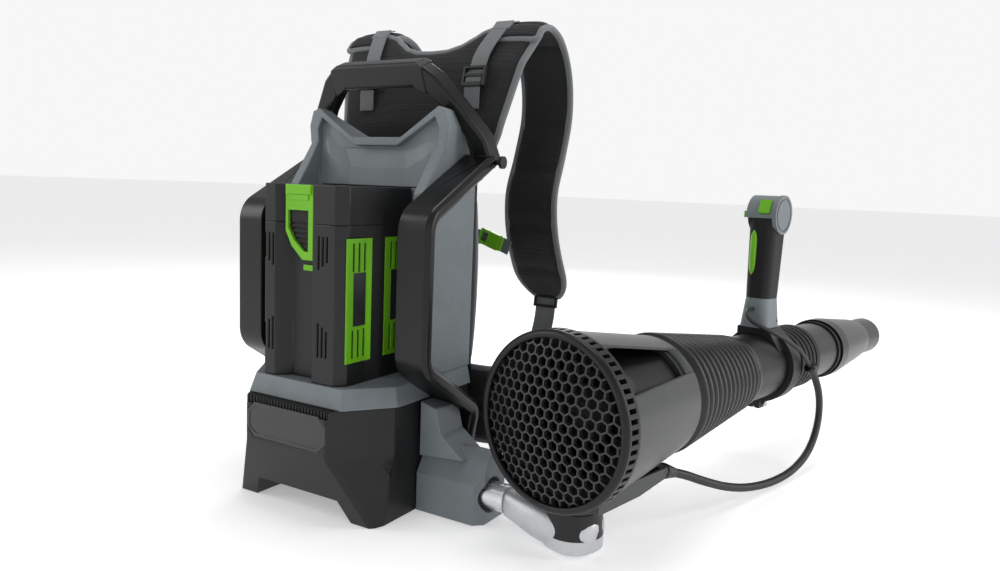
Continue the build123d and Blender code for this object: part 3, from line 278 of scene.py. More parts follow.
FINISH = {
    "base_housing": "charcoal", "badge_panel": "badge", "release_bar": "black_matte", "deck_cover": "gray",
    "terminal_block": "black", "controller_board": "board", "arm_housing": "gray", "arm_bushes": "steel",
    "shroud": "gray", "back_plate": "black", "guard_frame_right": "satin_black",
    "guard_frame_left": "satin_black", "carry_handle": "charcoal", "accessory_peg": "black",
    "frame_screws": "steel", "battery_case": "charcoal", "battery_cap": "charcoal", "latch_frame": "green",
    "latch_pad": "black_matte", "side_vents": "green", "cell_pack": "cell", "battery_contacts": "copper",
    "arm_shaft": "tube_alloy", "elbow_casting": "alloy", "swivel_collar": "charcoal", "yaw_pin": "steel",
    "intake_guard": "black", "guard_ring": "charcoal", "fan_duct": "black", "side_covers": "gray_dark",
    "top_cover": "gray_dark", "lower_cover": "gray_dark", "outlet_ring": "gray_dark",
    "stator_core": "black_matte", "motor_windings": "copper", "motor_bearings": "steel", "rotor": "steel",
    "impeller": "black_matte", "front_tube": "black", "second_tube": "satin_black",
    "locking_collar": "black_matte", "nozzle": "satin_black", "handle_clamp": "charcoal",
    "clamp_bolt": "steel", "handle_base": "gray", "handle_grip": "black_matte", "control_head": "gray",
    "turbo_button": "green", "cruise_lever": "green", "trigger": "black", "bellows": "rubber",
    "control_cable": "cable", "cable_conduit": "cable", "back_pad": "mesh", "harness_yoke": "mesh",
    "shoulder_pad_right": "mesh", "shoulder_pad_left": "mesh", "hip_belt": "mesh",
    "harness_webbing": "webbing", "harness_buckles": "charcoal",
}
for node, finish in FINISH.items():
    NODES[node].data.materials.clear()
    NODES[node].data.materials.append(MATERIALS[finish])


# ------------------------------------------------------------------ mesh helpers
def new_object(name, vertices, faces, material, body=None, smooth=True, place=None):
    mesh = bpy.data.meshes.new(name)
    mesh.from_pydata([tuple(v) for v in vertices], [], faces)
    bm = bmesh.new()
    bm.from_mesh(mesh)
    bmesh.ops.recalc_face_normals(bm, faces=bm.faces)
    bm.to_mesh(mesh)
    bm.free()
    if place is not None:
        mesh.transform(place)
    mesh.polygons.foreach_set("use_smooth", [smooth] * len(mesh.polygons))
    mesh.materials.append(MATERIALS[material])
    obj = bpy.data.objects.new(name, mesh)
    bpy.context.scene.collection.objects.link(obj)
    if body:
        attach(obj, body)
    return obj


def bevel(obj, width, segments=2, angle=30.0):
    mod = obj.modifiers.new("bevel", "BEVEL")
    mod.width = width
    mod.segments = segments
    mod.limit_method = "ANGLE"
    mod.angle_limit = radians(angle)
    mod.use_clamp_overlap = False
    mod.harden_normals = False
    return obj


def subdivide(obj, levels=1):
    mod = obj.modifiers.new("subdivision", "SUBSURF")
    mod.levels = levels
    mod.render_levels = levels
    return obj


def body_named(node):
    for body, members in RECORD["behaviour"]["bodies"].items():
        if node in members:
            return body
    raise KeyError(node)


def rounded(node, width=1.2 * MM, angle=30.0):
    """Copy of a CAD piece with its sharp edges rounded, shown in its place."""
    mesh = NODES[node].data.copy()
    mesh.name = node + "_shell"
    bm = bmesh.new()
    bm.from_mesh(mesh)
    bmesh.ops.remove_doubles(bm, verts=bm.verts, dist=0.00002)
    bmesh.ops.dissolve_limit(bm, angle_limit=radians(0.6), verts=bm.verts, edges=bm.edges)
    for edge in bm.edges:
        edge.smooth = len(edge.link_faces) == 2 and edge.calc_face_angle(0) < radians(28)
    bm.to_mesh(mesh)
    bm.free()
    mesh.polygons.foreach_set("use_smooth", [True] * len(mesh.polygons))
    obj = bpy.data.objects.new(node + "_shell", mesh)
    bpy.context.scene.collection.objects.link(obj)
    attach(obj, body_named(node))
    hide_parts(node)
    return bevel(obj, width, 2, angle)


def lathe(name, profile, material, body=None, segments=96, place=BLOWER, closed=True):
    """Turned piece about the blower's axis; profile is (radius, station) in millimetres."""
    vertices, faces = [], []
    for i in range(segments):
        a = 2 * pi * i / segments
        vertices += [(r * MM * cos(a), s * MM, r * MM * sin(a)) for r, s in profile]
    n = len(profile)
    for i in range(segments):
        j = (i + 1) % segments
        for k in range(n if closed else n - 1):
            m = (k + 1) % n
            faces.append((i * n + k, j * n + k, j * n + m, i * n + m))
    return new_object(name, vertices, faces, material, body, place=place)


def catmull(points, count):
    """Smooth line of count + 1 points through the given points."""
    pts = [Vector(p) for p in points]
    pts = [2 * pts[0] - pts[1]] + pts + [2 * pts[-1] - pts[-2]]
    spans = len(pts) - 3
    line = []
    for i in range(count + 1):
        u = spans * i / count
        k = min(int(u), spans - 1)
        t = u - k
        a, b, c, d = pts[k:k + 4]
        line.append(0.5 * (2 * b + (c - a) * t + (2 * a - 5 * b + 4 * c - d) * t * t
                           + (3 * b - a - 3 * c + d) * t ** 3))
    return line


def sweep(name, line, section, material, body=None, up=None, closed=False, caps=True, scale=None):
    """Section of (side, up) offsets carried along a line of points; up is one vector or one per point."""
    n = len(line)
    m = len(section)
    vertices, faces = [], []
    for i, p in enumerate(line):
        before = line[(i - 1) % n] if closed or i else p
        after = line[(i + 1) % n] if closed or i < n - 1 else p
        t = (after - before).normalized()
        u = up[i] if isinstance(up, list) else (up or Vector((0, 0, 1)))
        u = (u - t * u.dot(t)).normalized()
        side = t.cross(u)
        k = scale[i] if scale else 1.0
        vertices += [p + side * a * k + u * b * k for a, b in section]
    for i in range(n if closed else n - 1):
        j = (i + 1) % n
        for k in range(m):
            faces.append((i * m + k, i * m + (k + 1) % m, j * m + (k + 1) % m, j * m + k))
    if caps and not closed:
        faces.append(tuple(range(m - 1, -1, -1)))
        faces.append(tuple((n - 1) * m + k for k in range(m)))
    return new_object(name, vertices, faces, material, body)


def oval(a, b, n=12, power=2.0):
    """Closed superellipse section."""
    pts = []
    for i in range(n):
        t = 2 * pi * i / n
        pts.append((a * abs(cos(t)) ** (2 / power) * (1 if cos(t) >= 0 else -1),
                    b * abs(sin(t)) ** (2 / power) * (1 if sin(t) >= 0 else -1)))
    return pts


def strap(name, line, width, thickness, material, body, side):
    """Flat webbing along a line; side is the direction of its width."""
    side = Vector(side)
    ups = []
    for i, p in enumerate(line):
        t = (line[min(i + 1, len(line) - 1)] - line[max(i - 1, 0)]).normalized()
        ups.append(side.cross(t).normalized())
    return sweep(name, line, oval(width / 2, thickness / 2, 16, 5.0), material, body, up=ups)


# ------------------------------------------------------------------ cords
CONDUIT = [
    (46, 164, -78), (50, 200, -88), (56, 248, -108), (62, 304, -128), (66, 364, -142),
    (71, 428, -148), (74, 490, -145), (75, 543, -128), (73, 576, -96), (70, 586, -56),
    (66, 572, -20), (64, 548, 2),
]
CABLE = [
    (64, 548, 2), (62, 524, 24), (54, 497, 41), (41, 478, 53), (25, 462, 63),
    (9, 453, 71), (-2, 454, 80), (-4, 466, 87), (-4, 480, 87),
]
CONDUIT_DIAMETER, CABLE_DIAMETER = 10.5 * MM, 6 * MM


def spline(name, points):
    curve = bpy.data.curves.new(name, "CURVE")
    curve.dimensions = "3D"
    curve.resolution_u = 24
    line = curve.splines.new("NURBS")
    line.points.add(len(points) - 1)
    for point, place in zip(line.points, points):
        point.co = (*local(*place), 1)
    line.order_u = 3
    line.use_endpoint_u = True
    obj = bpy.data.objects.new(name, curve)
    bpy.context.scene.collection.objects.link(obj)
    return obj


def spline_points(name, points, step):
    """Evenly spaced points along the smooth curve of a route."""
    obj = spline(name, points)
    bpy.context.view_layer.update()
    mesh = bpy.data.meshes.new_from_object(obj.evaluated_get(bpy.context.evaluated_depsgraph_get()))
    raw = [v.co.copy() for v in mesh.vertices]
    bpy.data.objects.remove(obj)
    total = sum((b - a).length for a, b in zip(raw, raw[1:]))
    count = max(2, round(total / step))
    line, walked, target = [raw[0]], 0.0, total / count
    for a, b in zip(raw, raw[1:]):
        length = (b - a).length
        while length > 0 and walked + length >= target * len(line) and len(line) < count:
            line.append(a.lerp(b, (target * len(line) - walked) / length))
        walked += length
    line.append(raw[-1])
    return line


RIB = 2.6 * MM
conduit_line = spline_points("conduit_route", CONDUIT, RIB / 4)
ribs = [1.0 + 0.055 * cos(2 * pi * i / 4) for i in range(len(conduit_line))]
radius = CONDUIT_DIAMETER / 2
CORD_UP = Vector((1, 0, 0.2))
conduit = sweep("conduit", conduit_line, oval(radius, radius, 16), "cable", up=CORD_UP, scale=ribs)
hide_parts("cable_conduit")
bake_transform(conduit)

cable = spline("thin_cable", CABLE)
cable.data.bevel_depth = CABLE_DIAMETER / 2
cable.data.bevel_resolution = 5
cable.data.materials.append(MATERIALS["cable"])
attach(cable, "wand")
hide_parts("control_cable")

# ------------------------------------------------------------------ bellows
BELLOWS_START, BELLOWS_END, RIBS = 199.0, 395.0, 13
FIRST_CREST, LAST_CREST = 77.0, 56.5
# share of the pitch and drop below the crest, along one rib
RIB_SHAPE = [(0.05, 6.0), (0.16, 2.2), (0.28, 0.4), (0.42, 0.0), (0.56, 0.4), (0.68, 2.2), (0.79, 6.0),
             (0.93, 7.6)]


def bellows_profile():
    pitch = (BELLOWS_END - BELLOWS_START) / RIBS
    outer = [(69.3, 179.5), (70.6, 181.0), (70.6, 191.0), (69.3, 197.5)]
    inner = [(66.4, 179.5), (66.4, 197.5)]
    for i in range(RIBS):
        crest = FIRST_CREST + (LAST_CREST - FIRST_CREST) * i / (RIBS - 1)
        s = BELLOWS_START + pitch * i
        for t, drop in RIB_SHAPE:
            outer.append((crest - drop, s + pitch * t))
        inner.append((crest - 9.8, s + pitch * 0.93))
        inner.append((crest - 2.6, s + pitch * 0.42))
    outer += [(52.0, 396.5), (53.2, 398.0), (53.2, 406.0), (52.0, 407.5)]
    inner += [(49.4, 398.0), (49.4, 407.5)]
    inner.sort(key=lambda p: p[1])
    return outer + inner[::-1]


bellows = lathe("bellows_skin", bellows_profile(), "rubber")
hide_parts("bellows")
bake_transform(bellows)

# ------------------------------------------------------------------ harness
PATH = [(155.8, 607), (170.3, 622), (198.3, 628), (233.3, 613), (261.3, 571), (268.3, 515), (251.3, 455),
        (231.3, 400), (237.3, 345), (263.3, 290), (299.3, 243)]
YOKE_PATH = [(112.3, 415), (115.3, 490), (135.3, 573), (155.3, 606), (163, 618)]
PAD_MIDDLE, PAD_HALF = 125 * MM, 39.5 * MM
YOKE_LEAN = 13.5


def grid_border(nu, nv):
    """Numbers of a grid's border points in order; the grid has nu by nv cells."""
    w = nu + 1
    return ([i for i in range(nu)] + [j * w + nu for j in range(nv)] + [nv * w + i for i in range(nu, 0, -1)]
            + [j * w for j in range(nv, 0, -1)])


def pillow(name, surface, nu, nv, half, material, body, border=9 * MM, seams=(), rim=0.30):
    """Closed quilted pad over a grid: surface(u, v) gives (point, normal, distance to the border)."""
    upper, lower = [], []
    for j in range(nv + 1):
        for i in range(nu + 1):
            u, v = i / nu, j / nv
            p, n, d = surface(u, v)
            f = sqrt(max(0.0, 1 - (1 - min(1.0, d / border)) ** 2))
            f = rim + (1 - rim) * f
            for at in seams:
                f *= 1 - 0.42 * 2.718 ** (-(((v - at) * nv / 1.1) ** 2))
            upper.append(p + n * half * f)
            lower.append(p - n * half * f)
    w = nu + 1
    count = len(upper)
    faces = []
    for j in range(nv):
        for i in range(nu):
            a = j * w + i
            faces.append((a, a + 1, a + 1 + w, a + w))
            faces.append((count + a, count + a + w, count + a + 1 + w, count + a + 1))
    ring = grid_border(nu, nv)
    for a, b in zip(ring, ring[1:] + ring[:1]):
        faces.append((a, b, count + b, count + a))
    obj = new_object(name, upper + lower, faces, material, body)
    return subdivide(obj, 1)


def border_line(surface, nu, nv):
    """Points and normals round the border of a surface."""
    steps = ([(i / nu, 0) for i in range(nu)] + [(1, j / nv) for j in range(nv)]
             + [(1 - i / nu, 1) for i in range(nu)] + [(0, 1 - j / nv) for j in range(nv)])
    return [surface(u, v)[0] for u, v in steps], [surface(u, v)[1] for u, v in steps]


def binding(name, surface, nu, nv, body, half, width=5.2 * MM, closed=True):
    """Tape folded over the edge of a pad."""
    line, ups = border_line(surface, nu, nv)
    obj = sweep(name, line, oval(width, half, 10, 2.6), "piping", body, up=ups, closed=closed)
    return subdivide(obj, 1)


def pad_surface(sign):
    line = catmull([(0, y * MM, z * MM) for y, z in PATH], 96)

    def surface(u, v):
        k = v * 96
        i = min(int(k), 95)
        p = line[i].lerp(line[i + 1], k - i)
        a, b = line[max(i - 1, 0)], line[min(i + 2, 96)]
        t = (b - a).normalized()
        n = Vector((1, 0, 0)).cross(t)
        taper = 1 - 0.5 * max(0.0, (v - 0.9) / 0.1) ** 2.6
        waist = 1 - 0.05 * sin(pi * min(1.0, v / 0.9))
        half = PAD_HALF * taper * waist
        side = (2 * u - 1) * half
        crown = 3.0 * MM * (1 - (2 * u - 1) ** 2)
        point = Vector((sign * (PAD_MIDDLE + side), p.y, p.z)) + n * crown
        length = 0.52
        d = min(half - abs(side), v * length + 4 * MM, (1 - v) * length)
        return point, n, d

    return surface


PAD_SEAMS = (0.12, 0.30, 0.52, 0.64, 0.78, 0.90)
for sign, word in ((1, "right"), (-1, "left")):
    surface = pad_surface(sign)
    pad = pillow(f"shoulder_{word}", surface, 14, 96, 7.2 * MM, "mesh", "backpack", seams=PAD_SEAMS)
    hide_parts("shoulder_pad_" + word)
    binding(f"shoulder_tape_{word}", surface, 14, 96, "backpack", 4.3 * MM)


def yoke_height(x):
    """Height of the yoke's top edge at a distance from the middle."""
    table = ((0, 593), (25, 594), (48, 600), (64, 610), (78, 621), (100, 626), (150, 622), (170, 618))
    x = abs(x) / MM
    for (x0, z0), (x1, z1) in zip(table, table[1:]):
        if x <= x1:
            t = (x - x0) / (x1 - x0)
            t = t * t * (3 - 2 * t)
            return (z0 + (z1 - z0) * t) * MM
    return table[-1][1] * MM


def yoke_half(z):
    table = ((400, 100), (480, 132), (573, 150), (622, 164), (660, 165))
    z = z / MM
    for (z0, w0), (z1, w1) in zip(table, table[1:]):
        if z <= z1:
            return (w0 + (w1 - w0) * max(0.0, (z - z0) / (z1 - z0))) * MM
    return table[-1][1] * MM


def yoke_surface(u, v):
    low = 420 * MM
    z = low + v * (620 * MM - low)
    x = (2 * u - 1) * yoke_half(z)
    z = low + v * (yoke_height(x) - low)
    x = (2 * u - 1) * yoke_half(z)
    zz = z / MM
    y = YOKE_PATH[-1][0]
    slope = 1.0
    for (y0, z0), (y1, z1) in zip(YOKE_PATH, YOKE_PATH[1:]):
        if zz <= z1:
            t = (zz - z0) / (z1 - z0)
            y = y0 + (y1 - y0) * t
            slope = (y1 - y0) / (z1 - z0)
            break
    n = Vector((0, -1, slope)).normalized()
    wrap = 10 * MM * (x / (0.16)) ** 2
    d = min(yoke_half(z) - abs(x), yoke_height(x) - z, (z - low) + 2 * MM)
    return Vector((x, y * MM + wrap * 0.6, z)), n, max(0.0, d)


yoke = pillow("yoke", yoke_surface, 48, 30, 7.0 * MM, "mesh", "backpack")
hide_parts("harness_yoke")
binding("yoke_tape", yoke_surface, 48, 30, "backpack", 4.6 * MM)

# ------------------------------------------------------------------ back pad and hip belt
BACK_HALF_WIDTH, BACK_HALF_HEIGHT = 105 * MM, 119.5 * MM
BACK_MIDDLE_Y, BACK_MIDDLE_Z = 114.3 * MM, 280.5 * MM


def back_surface(u, v):
    """Rectangle whose sides pull in towards its corners."""
    a, b = 2 * u - 1, 2 * v - 1
    x = BACK_HALF_WIDTH * a * sqrt(1 - 0.10 * b * b)
    z = BACK_MIDDLE_Z + BACK_HALF_HEIGHT * b * sqrt(1 - 0.14 * a * a)
    d = min(BACK_HALF_WIDTH * (1 - abs(a)), BACK_HALF_HEIGHT * (1 - abs(b)))
    return Vector((x, BACK_MIDDLE_Y, z)), Vector((0, 1, 0)), d


BELT_STEPS = 80
BELT_MIDDLE_Z = 109 * MM
BELT = [(-162, 214), (-165, 173), (-154, 131), (-128, 113), (-60, 112), (0, 112), (60, 112), (128, 113),
        (154, 131), (165, 173), (162, 214)]
belt_line = catmull([(x * MM, y * MM, 0) for x, y in BELT], BELT_STEPS)


def belt_surface(u, v):
    """Lumbar pad whose two wings narrow as they come forward."""
    k = u * BELT_STEPS
    i = min(int(k), BELT_STEPS - 1)
    p = belt_line[i].lerp(belt_line[i + 1], k - i)
    t = (belt_line[min(i + 2, BELT_STEPS)] - belt_line[max(i - 1, 0)]).normalized()
    n = Vector((-t.y, t.x, 0))
    wing = max(0.0, abs(2 * u - 1) - 0.55) / 0.45
    half = (50 - 17 * wing ** 1.5) * MM
    z = BELT_MIDDLE_Z + (2 * v - 1) * half
    d = min(half * (1 - abs(2 * v - 1)), 0.56 * min(u, 1 - u))
    return Vector((p.x, p.y, z)), n, d


back = pillow("back_cushion", back_surface, 36, 42, 10.5 * MM, "mesh", "backpack", border=14 * MM,
              seams=(0.27, 0.5, 0.73))
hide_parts("back_pad")
binding("back_tape", back_surface, 36, 42, "backpack", 4.2 * MM)
belt = pillow("belt_cushion", belt_surface, 72, 16, 8.6 * MM, "mesh", "backpack", border=11 * MM,
              seams=(0.5,))
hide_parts("hip_belt")
binding("belt_tape", belt_surface, 72, 16, "backpack", 4.2 * MM)


# ------------------------------------------------------------------ straps and buckles
def blocks(name, sizes, material, body, place=None, width=0.8 * MM):
    """Several boxes in one piece; each is (x0, x1, y0, y1, z0, z1) in millimetres."""
    vertices, faces = [], []
    for x0, x1, y0, y1, z0, z1 in sizes:
        n = len(vertices)
        vertices += [(x * MM, y * MM, z * MM) for x in (x0, x1) for y in (y0, y1) for z in (z0, z1)]
        faces += [tuple(n + k for k in f) for f in ((0, 1, 3, 2), (4, 6, 7, 5), (0, 4, 5, 1), (2, 3, 7, 6),
                                                    (0, 2, 6, 4), (1, 5, 7, 3))]
    obj = new_object(name, vertices, faces, material, body, smooth=False, place=place)
    return bevel(obj, width, 2)


def placed(point, tilt=0.0, turn=0.0):
    """Frame at a row-frame point in millimetres, tilted about X and turned about Y by degrees."""
    return (Matrix.Translation(Vector(point) * MM) @ Matrix.Rotation(radians(tilt), 4, "X")
            @ Matrix.Rotation(radians(turn), 4, "Y"))


def webbing(name, points, width, side=(1, 0, 0)):
    line = catmull([Vector(p) * MM for p in points], 12 * (len(points) - 1))
    obj = strap(name, line, width * MM, 1.9 * MM, "webbing", "backpack", side)
    return obj


LOCK_BARS = [(-18, -14, -3, 3, -14, 14), (14, 18, -3, 3, -14, 14), (-14, 14, -3, 3, 10, 14),
             (-14, 14, -3.5, 2, -1.5, 3), (-14, 14, -4, 1, -15, -9)]
LUG_BARS = [(-20, 20, -2.5, 2.5, -3, 3), (-20, -16, -2.5, 2.5, -16, 3), (16, 20, -2.5, 2.5, -16, 3),
            (-20, 20, -2.5, 2.5, -18, -14)]
LIFTER_WIDTH, LOWER_WIDTH, CHEST_WIDTH = 25, 34, 22
for sign, word in ((1, "right"), (-1, "left")):
    webbing("lifter_" + word, [(sign * 92, 120.5, 560), (sign * 95, 131, 588), (sign * 101, 147, 612),
                               (sign * 107, 164, 631), (sign * 110, 183, 638)], LIFTER_WIDTH)
    webbing("lifter_tail_" + word, [(sign * 92, 117, 560), (sign * 91, 113.5, 540), (sign * 91, 113, 512)],
            LIFTER_WIDTH)
    lower = webbing("lower_strap_" + word, [(sign * 123.5, 298, 240), (sign * 123.5, 293, 205),
                                            (sign * 123.5, 272, 160), (sign * 124, 236, 112),
                                            (sign * 126, 180, 84), (sign * 126, 134, 84)], LOWER_WIDTH)
    if word == "right":
        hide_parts("harness_webbing")
    lock = blocks("ladder_lock_" + word, LOCK_BARS, "charcoal", "backpack",
                  placed((sign * 92, 117, 556), -YOKE_LEAN))
    fold = blocks("stitched_fold_" + word, [(-14, 14, -1.8, 1.8, -9, 9)], "webbing", "backpack",
                  placed((sign * 106.5, 162.5, 629.5), -45))
    lug = blocks("strap_lug_" + word, LUG_BARS, "charcoal", "backpack",
                 placed((sign * 123.5, 298, 243), -8))

CHEST_Y = 232.4
webbing("chest_strap_left", [(-90, CHEST_Y, 345), (-40, CHEST_Y + 1, 341), (8, CHEST_Y + 1, 335),
                             (52, CHEST_Y, 331)], CHEST_WIDTH, (0, 0, 1))
webbing("chest_strap_right", [(72, CHEST_Y, 325), (80, CHEST_Y, 322), (91, CHEST_Y, 318)], CHEST_WIDTH,
        (0, 0, 1))
clip = blocks("chest_clip", [(-9, 13, -5, 4, -12, 12), (-20, -9, -4, 3, -12, -7), (-20, -9, -4, 3, 7, 12),
                             (-24, -20, -4, 3, -12, 12), (13, 18, -4, 3, -11, 11)], "green", "backpack",
              placed((62, CHEST_Y - 1, 328), 0, 18), 1.6 * MM)
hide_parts("harness_buckles")
slide = blocks("chest_slide", [(-3, 3, -3, 3, -15, 15), (-9, -6, -3, 3, -15, 15), (6, 9, -3, 3, -15, 15),
                               (-9, 9, -3, 3, 12, 15), (-9, 9, -3, 3, -15, -12)], "charcoal", "backpack",
               placed((-62, CHEST_Y, 343)))

# ------------------------------------------------------------------ air intake
GUARD_REACH, GUARD_DOME, CELL_PITCH, WEB = 92.0, 13.0, 12.3, 1.15


def guard_point(x, z, lift):
    """Place on the domed guard; anything past the rim is drawn in to it."""
    r = sqrt(x * x + z * z)
    if r > GUARD_REACH:
        x, z, r = x * GUARD_REACH / r, z * GUARD_REACH / r, GUARD_REACH
    return (x * MM, (3 - GUARD_DOME * (1 - (r / GUARD_REACH) ** 2) + lift) * MM, z * MM)


guard_vertices, guard_faces = [], []
count = int(GUARD_REACH / CELL_PITCH) + 2
for row in range(-count, count + 1):
    for column in range(-count, count + 1):
        cx = CELL_PITCH * (column + 0.5 * (row % 2))
        cz = CELL_PITCH * sqrt(3) / 2 * row
        if sqrt(cx * cx + cz * cz) > GUARD_REACH + 0.3 * CELL_PITCH:
            continue
        outer = CELL_PITCH / sqrt(3)
        inner = outer - WEB
        start = len(guard_vertices)
        for size, lift in ((outer, 0.0), (inner, 0.0), (inner, 6.5), (outer, 6.5)):
            for k in range(6):
                a = radians(60 * k + 30)
                guard_vertices.append(guard_point(cx + size * cos(a), cz + size * sin(a), lift))
        for k in range(6):
            m = (k + 1) % 6
            for ring in range(3):
                guard_faces.append((start + 6 * ring + k, start + 6 * ring + m, start + 6 * ring + 6 + m,
                                    start + 6 * ring + 6 + k))
guard = new_object("honeycomb", guard_vertices, guard_faces, "web", "blower", smooth=False, place=BLOWER)
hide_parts("intake_guard")
rim = lathe("guard_rim", [(90.2, 2.0), (90.4, -0.4), (91.4, -1.6), (94.0, -1.9), (96.6, -1.2), (98.4, 0.6),
                          (99.2, 3.2), (99.2, 4.4), (90.4, 5.0)], "black", "blower")
THROAT = [(90.5, 9), (70, 24), (63, 34), (62, 60), (61.2, 60), (62.2, 33), (69, 22), (89.5, 8)]
throat = lathe("throat", THROAT, "black_matte", "blower")
band = lathe("cover_band", [(70.5, 170), (74.6, 171), (75.2, 173), (75.2, 187), (74.6, 189), (70.5, 190)],
             "gray_dark", "blower")

# ------------------------------------------------------------------ tapered sleeves of the cords
RIDGE = 0.45
for name, line, body, wide in (("conduit_sleeve", conduit_line[:36], "blower", 9.4),
                               ("conduit_cuff", conduit_line[:-31:-1], "wand", 8.8)):
    last = len(line) - 1
    narrow = CONDUIT_DIAMETER / 2 / MM + 0.35
    sizes = []
    for i in range(last + 1):
        ridge = RIDGE if i % 7 < 4 else 0.0
        sizes.append((wide + (narrow - wide) * (i / last) + ridge) * MM)
    sleeve = sweep(name, line, oval(1, 1, 20), "rubber", body, up=CORD_UP, scale=sizes)


# ------------------------------------------------------------------ panels on the shroud, battery and handle
def slab(name, front, thickness, material, body, width=1.2 * MM):
    """Plate over rows of (x, y, z) points in millimetres that is thick towards +Y."""
    rows, columns = len(front), len(front[0])
    flat = [Vector(p) * MM for line in front for p in line]
    n = len(flat)
    vertices = flat + [p + Vector((0, thickness * MM, 0)) for p in flat]
    faces = []
    for j in range(rows - 1):
        for i in range(columns - 1):
            a = j * columns + i
            faces.append((a, a + 1, a + 1 + columns, a + columns))
            faces.append((n + a, n + a + columns, n + a + 1 + columns, n + a + 1))
    ring = grid_border(columns - 1, rows - 1)
    for a, b in zip(ring, ring[1:] + ring[:1]):
        faces.append((a, b, n + b, n + a))
    obj = new_object(name, vertices, faces, material, body, smooth=False)
    return bevel(obj, width, 2, 12)


# right halves of the scoop's rows, from the middle out; the left halves mirror them
SCOOP = [[(0, 36, 459), (41, 36, 459), (74, 40, 480), (105, 36, 492)],
         [(0, 30, 428), (46, 30, 428), (82, 28, 446), (105, 30, 452)],
         [(0, 28, 404), (46, 28, 404), (82, 27, 404), (105, 26, 404)]]
scoop_rows = [[(-x, y, z) for x, y, z in reversed(half[1:])] + half for half in SCOOP]
slab("scoop", scoop_rows, 3, "gray", "backpack")
for sign in (1, -1):
    for y in (-79.5, -9.5):
        x0, x1 = sorted((sign * 66.2, sign * 67.0))
        label = blocks(f"battery_label_{'r' if sign > 0 else 'l'}_{'a' if y < -50 else 'b'}",
                       [(x0, x1, y - 11, y + 11, 237, 301)], "label", "battery", width=0.3 * MM)
tag = blocks("front_tag", [(-7, 12, -97.9, -97.1, 299, 306)], "green", "battery", width=0.3 * MM)
LIP_STEPS = [(-24, 16.5, -112.0, -108.6, 391, 402.6), (-20, 12, -110.6, -108.4, 384, 391)]
lip = blocks("latch_lip", LIP_STEPS, "green", "battery", width=1.0 * MM)

# green strip that lies on the rear of the grip, found by rays from behind
STRIP_X = (-17, -14.2, -11.5, -8.8, -6)
STRIP_LOW, STRIP_HEIGHT, STRIP_ROWS = 138, 66, 14
RAY_START = 380  # station behind the grip
grip_tree = BVHTree.FromObject(NODES["handle_grip"], bpy.context.evaluated_depsgraph_get())
from_grip = NODES["handle_grip"].matrix_world
to_grip = from_grip.inverted()
ray = (to_grip.to_3x3() @ S_AXIS).normalized()
vertices, faces = [], []
for j in range(STRIP_ROWS + 1):
    z = STRIP_LOW + j * STRIP_HEIGHT / STRIP_ROWS
    line = [grip_tree.ray_cast(to_grip @ local(x, RAY_START, z), ray, 0.3)[0] for x in STRIP_X]
    end = 1 - abs(2 * j / STRIP_ROWS - 1) ** 6
    middle = sum(line, Vector()) / len(line)
    for i, p in enumerate(line):
        q = middle.lerp(p, max(0.15, end))
        crown = 1.6 * (1 - (abs(i - 2) / 2) ** 2) * end + 0.3
        vertices.append(from_grip @ q - S_AXIS * crown * MM)
for j in range(STRIP_ROWS):
    for i in range(4):
        a = j * 5 + i
        faces.append((a, a + 1, a + 6, a + 5))
strip = new_object("grip_strip", vertices, faces, "green", "wand")
thick = strip.modifiers.new("solid", "SOLIDIFY")
thick.thickness = 1.2 * MM
thick.offset = 0

# ------------------------------------------------------------------ elbow casting
# distance along X, height of the middle, half height and half width of each section
ELBOW = [(238, 38, 15, 17), (246, 37, 18, 21), (262, 34, 19.5, 25), (284, 29, 23, 30), (306, 26.5, 24, 34),
         (328, 25.5, 24, 35), (344, 26, 23, 31), (356, 27, 20, 23), (362, 28, 13, 12)]
elbow_vertices, elbow_faces = [], []
ELBOW_SIDES, ELBOW_Y = 28, -5
for x, cz, high, wide in ELBOW:
    for a, b in oval(wide, high, ELBOW_SIDES, 2.7):
        elbow_vertices.append(Vector((x, a + ELBOW_Y, cz + b)) * MM)
for i in range(len(ELBOW) - 1):
    for k in range(ELBOW_SIDES):
        m = (k + 1) % ELBOW_SIDES
        elbow_faces.append((i * ELBOW_SIDES + k, i * ELBOW_SIDES + m, (i + 1) * ELBOW_SIDES + m,
                            (i + 1) * ELBOW_SIDES + k))
elbow_faces.append(tuple(range(ELBOW_SIDES)))
elbow_faces.append(tuple((len(ELBOW) - 1) * ELBOW_SIDES + k for k in range(ELBOW_SIDES - 1, -1, -1)))
elbow = new_object("elbow_body", elbow_vertices, elbow_faces, "alloy", "swing_arm")
subdivide(elbow, 1)

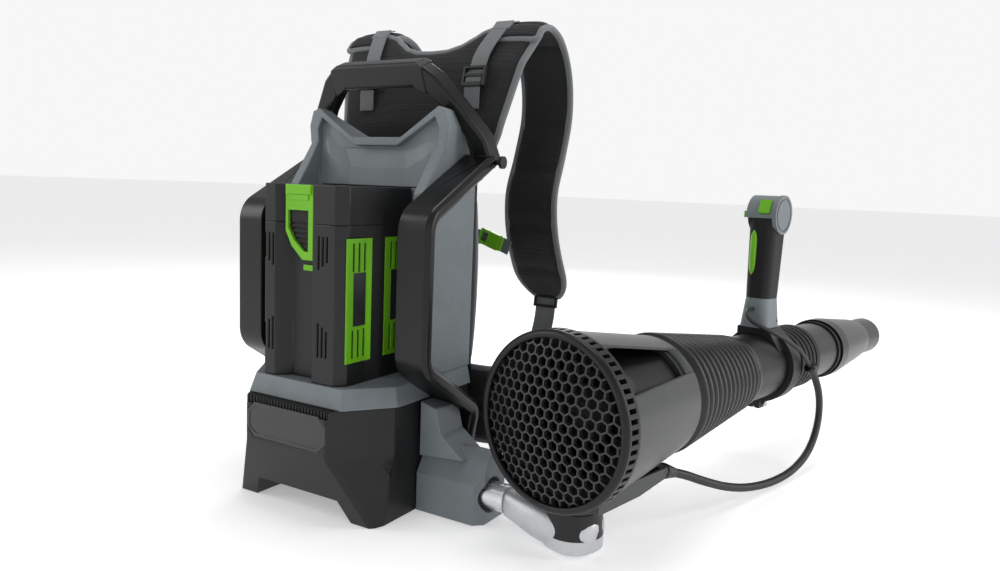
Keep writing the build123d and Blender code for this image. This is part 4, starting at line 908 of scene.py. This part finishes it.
# ------------------------------------------------------------------ floor, light
floor = new_object("floor", [(-40, -40, 0), (40, -40, 0), (40, 40, 0), (-40, 40, 0)], [(0, 1, 2, 3)], "gray",
                   smooth=False)
paper = Tree("paper")
fibre = paper.ramp(paper.noise(3.0), 0.3, 0.7, 0.0, 1.0)
paper.link(paper.blend(fibre, (0.90, 0.90, 0.90), (0.93, 0.93, 0.93)), "Base Color")
paper.value("Roughness", 0.8)
paper.value("Emission Color", (1, 1, 1, 1))
paper.value("Emission Strength", 0.33)
floor.data.materials[0] = paper.material


def lamp(name, place, target, size, power, tall=None):
    light = bpy.data.lights.new(name, "AREA")
    light.energy = power
    light.shape = "RECTANGLE"
    light.size = size
    light.size_y = tall or size
    obj = bpy.data.objects.new(name, light)
    bpy.context.scene.collection.objects.link(obj)
    obj.location = place
    obj.rotation_euler = (Vector(target) - Vector(place)).to_track_quat("-Z", "Y").to_euler()
    return obj


lamp("key", (-1.9, -1.3, 1.5), (0.1, 0, 0.3), 0.5, 16, 1.8)
lamp("side", (2.4, 0.9, 1.3), (0.2, 0.1, 0.3), 0.5, 22, 1.8)
lamp("back", (-1.0, 2.2, 1.6), (0.1, 0.1, 0.35), 0.7, 16, 1.6)
lamp("above", (0.3, 0.2, 2.4), (0.2, 0.1, 0.2), 1.0, 14)
world = bpy.data.worlds.new("studio")
bpy.context.scene.world = world
world.use_nodes = True
sky = world.node_tree.nodes
links = world.node_tree.links
sky_place = sky.new("ShaderNodeTexCoord")
sky_split = sky.new("ShaderNodeSeparateXYZ")
sky_level = sky.new("ShaderNodeMapRange")
links.new(sky_place.outputs["Generated"], sky_split.inputs[0])
links.new(sky_split.outputs["Z"], sky_level.inputs["Value"])
for name, number in (("From Min", 0.28), ("From Max", 0.62), ("To Min", 0.93), ("To Max", 0.42)):
    sky_level.inputs[name].default_value = number
links.new(sky_level.outputs["Result"], sky["Background"].inputs["Strength"])
sky["Background"].inputs["Color"].default_value = (1, 1, 1, 1)
bpy.context.scene.view_settings.view_transform = "Standard"

for node in ("base_housing", "deck_cover", "arm_housing", "shroud", "guard_frame_right", "guard_frame_left",
             "carry_handle", "battery_case", "battery_cap"):
    rounded(node)
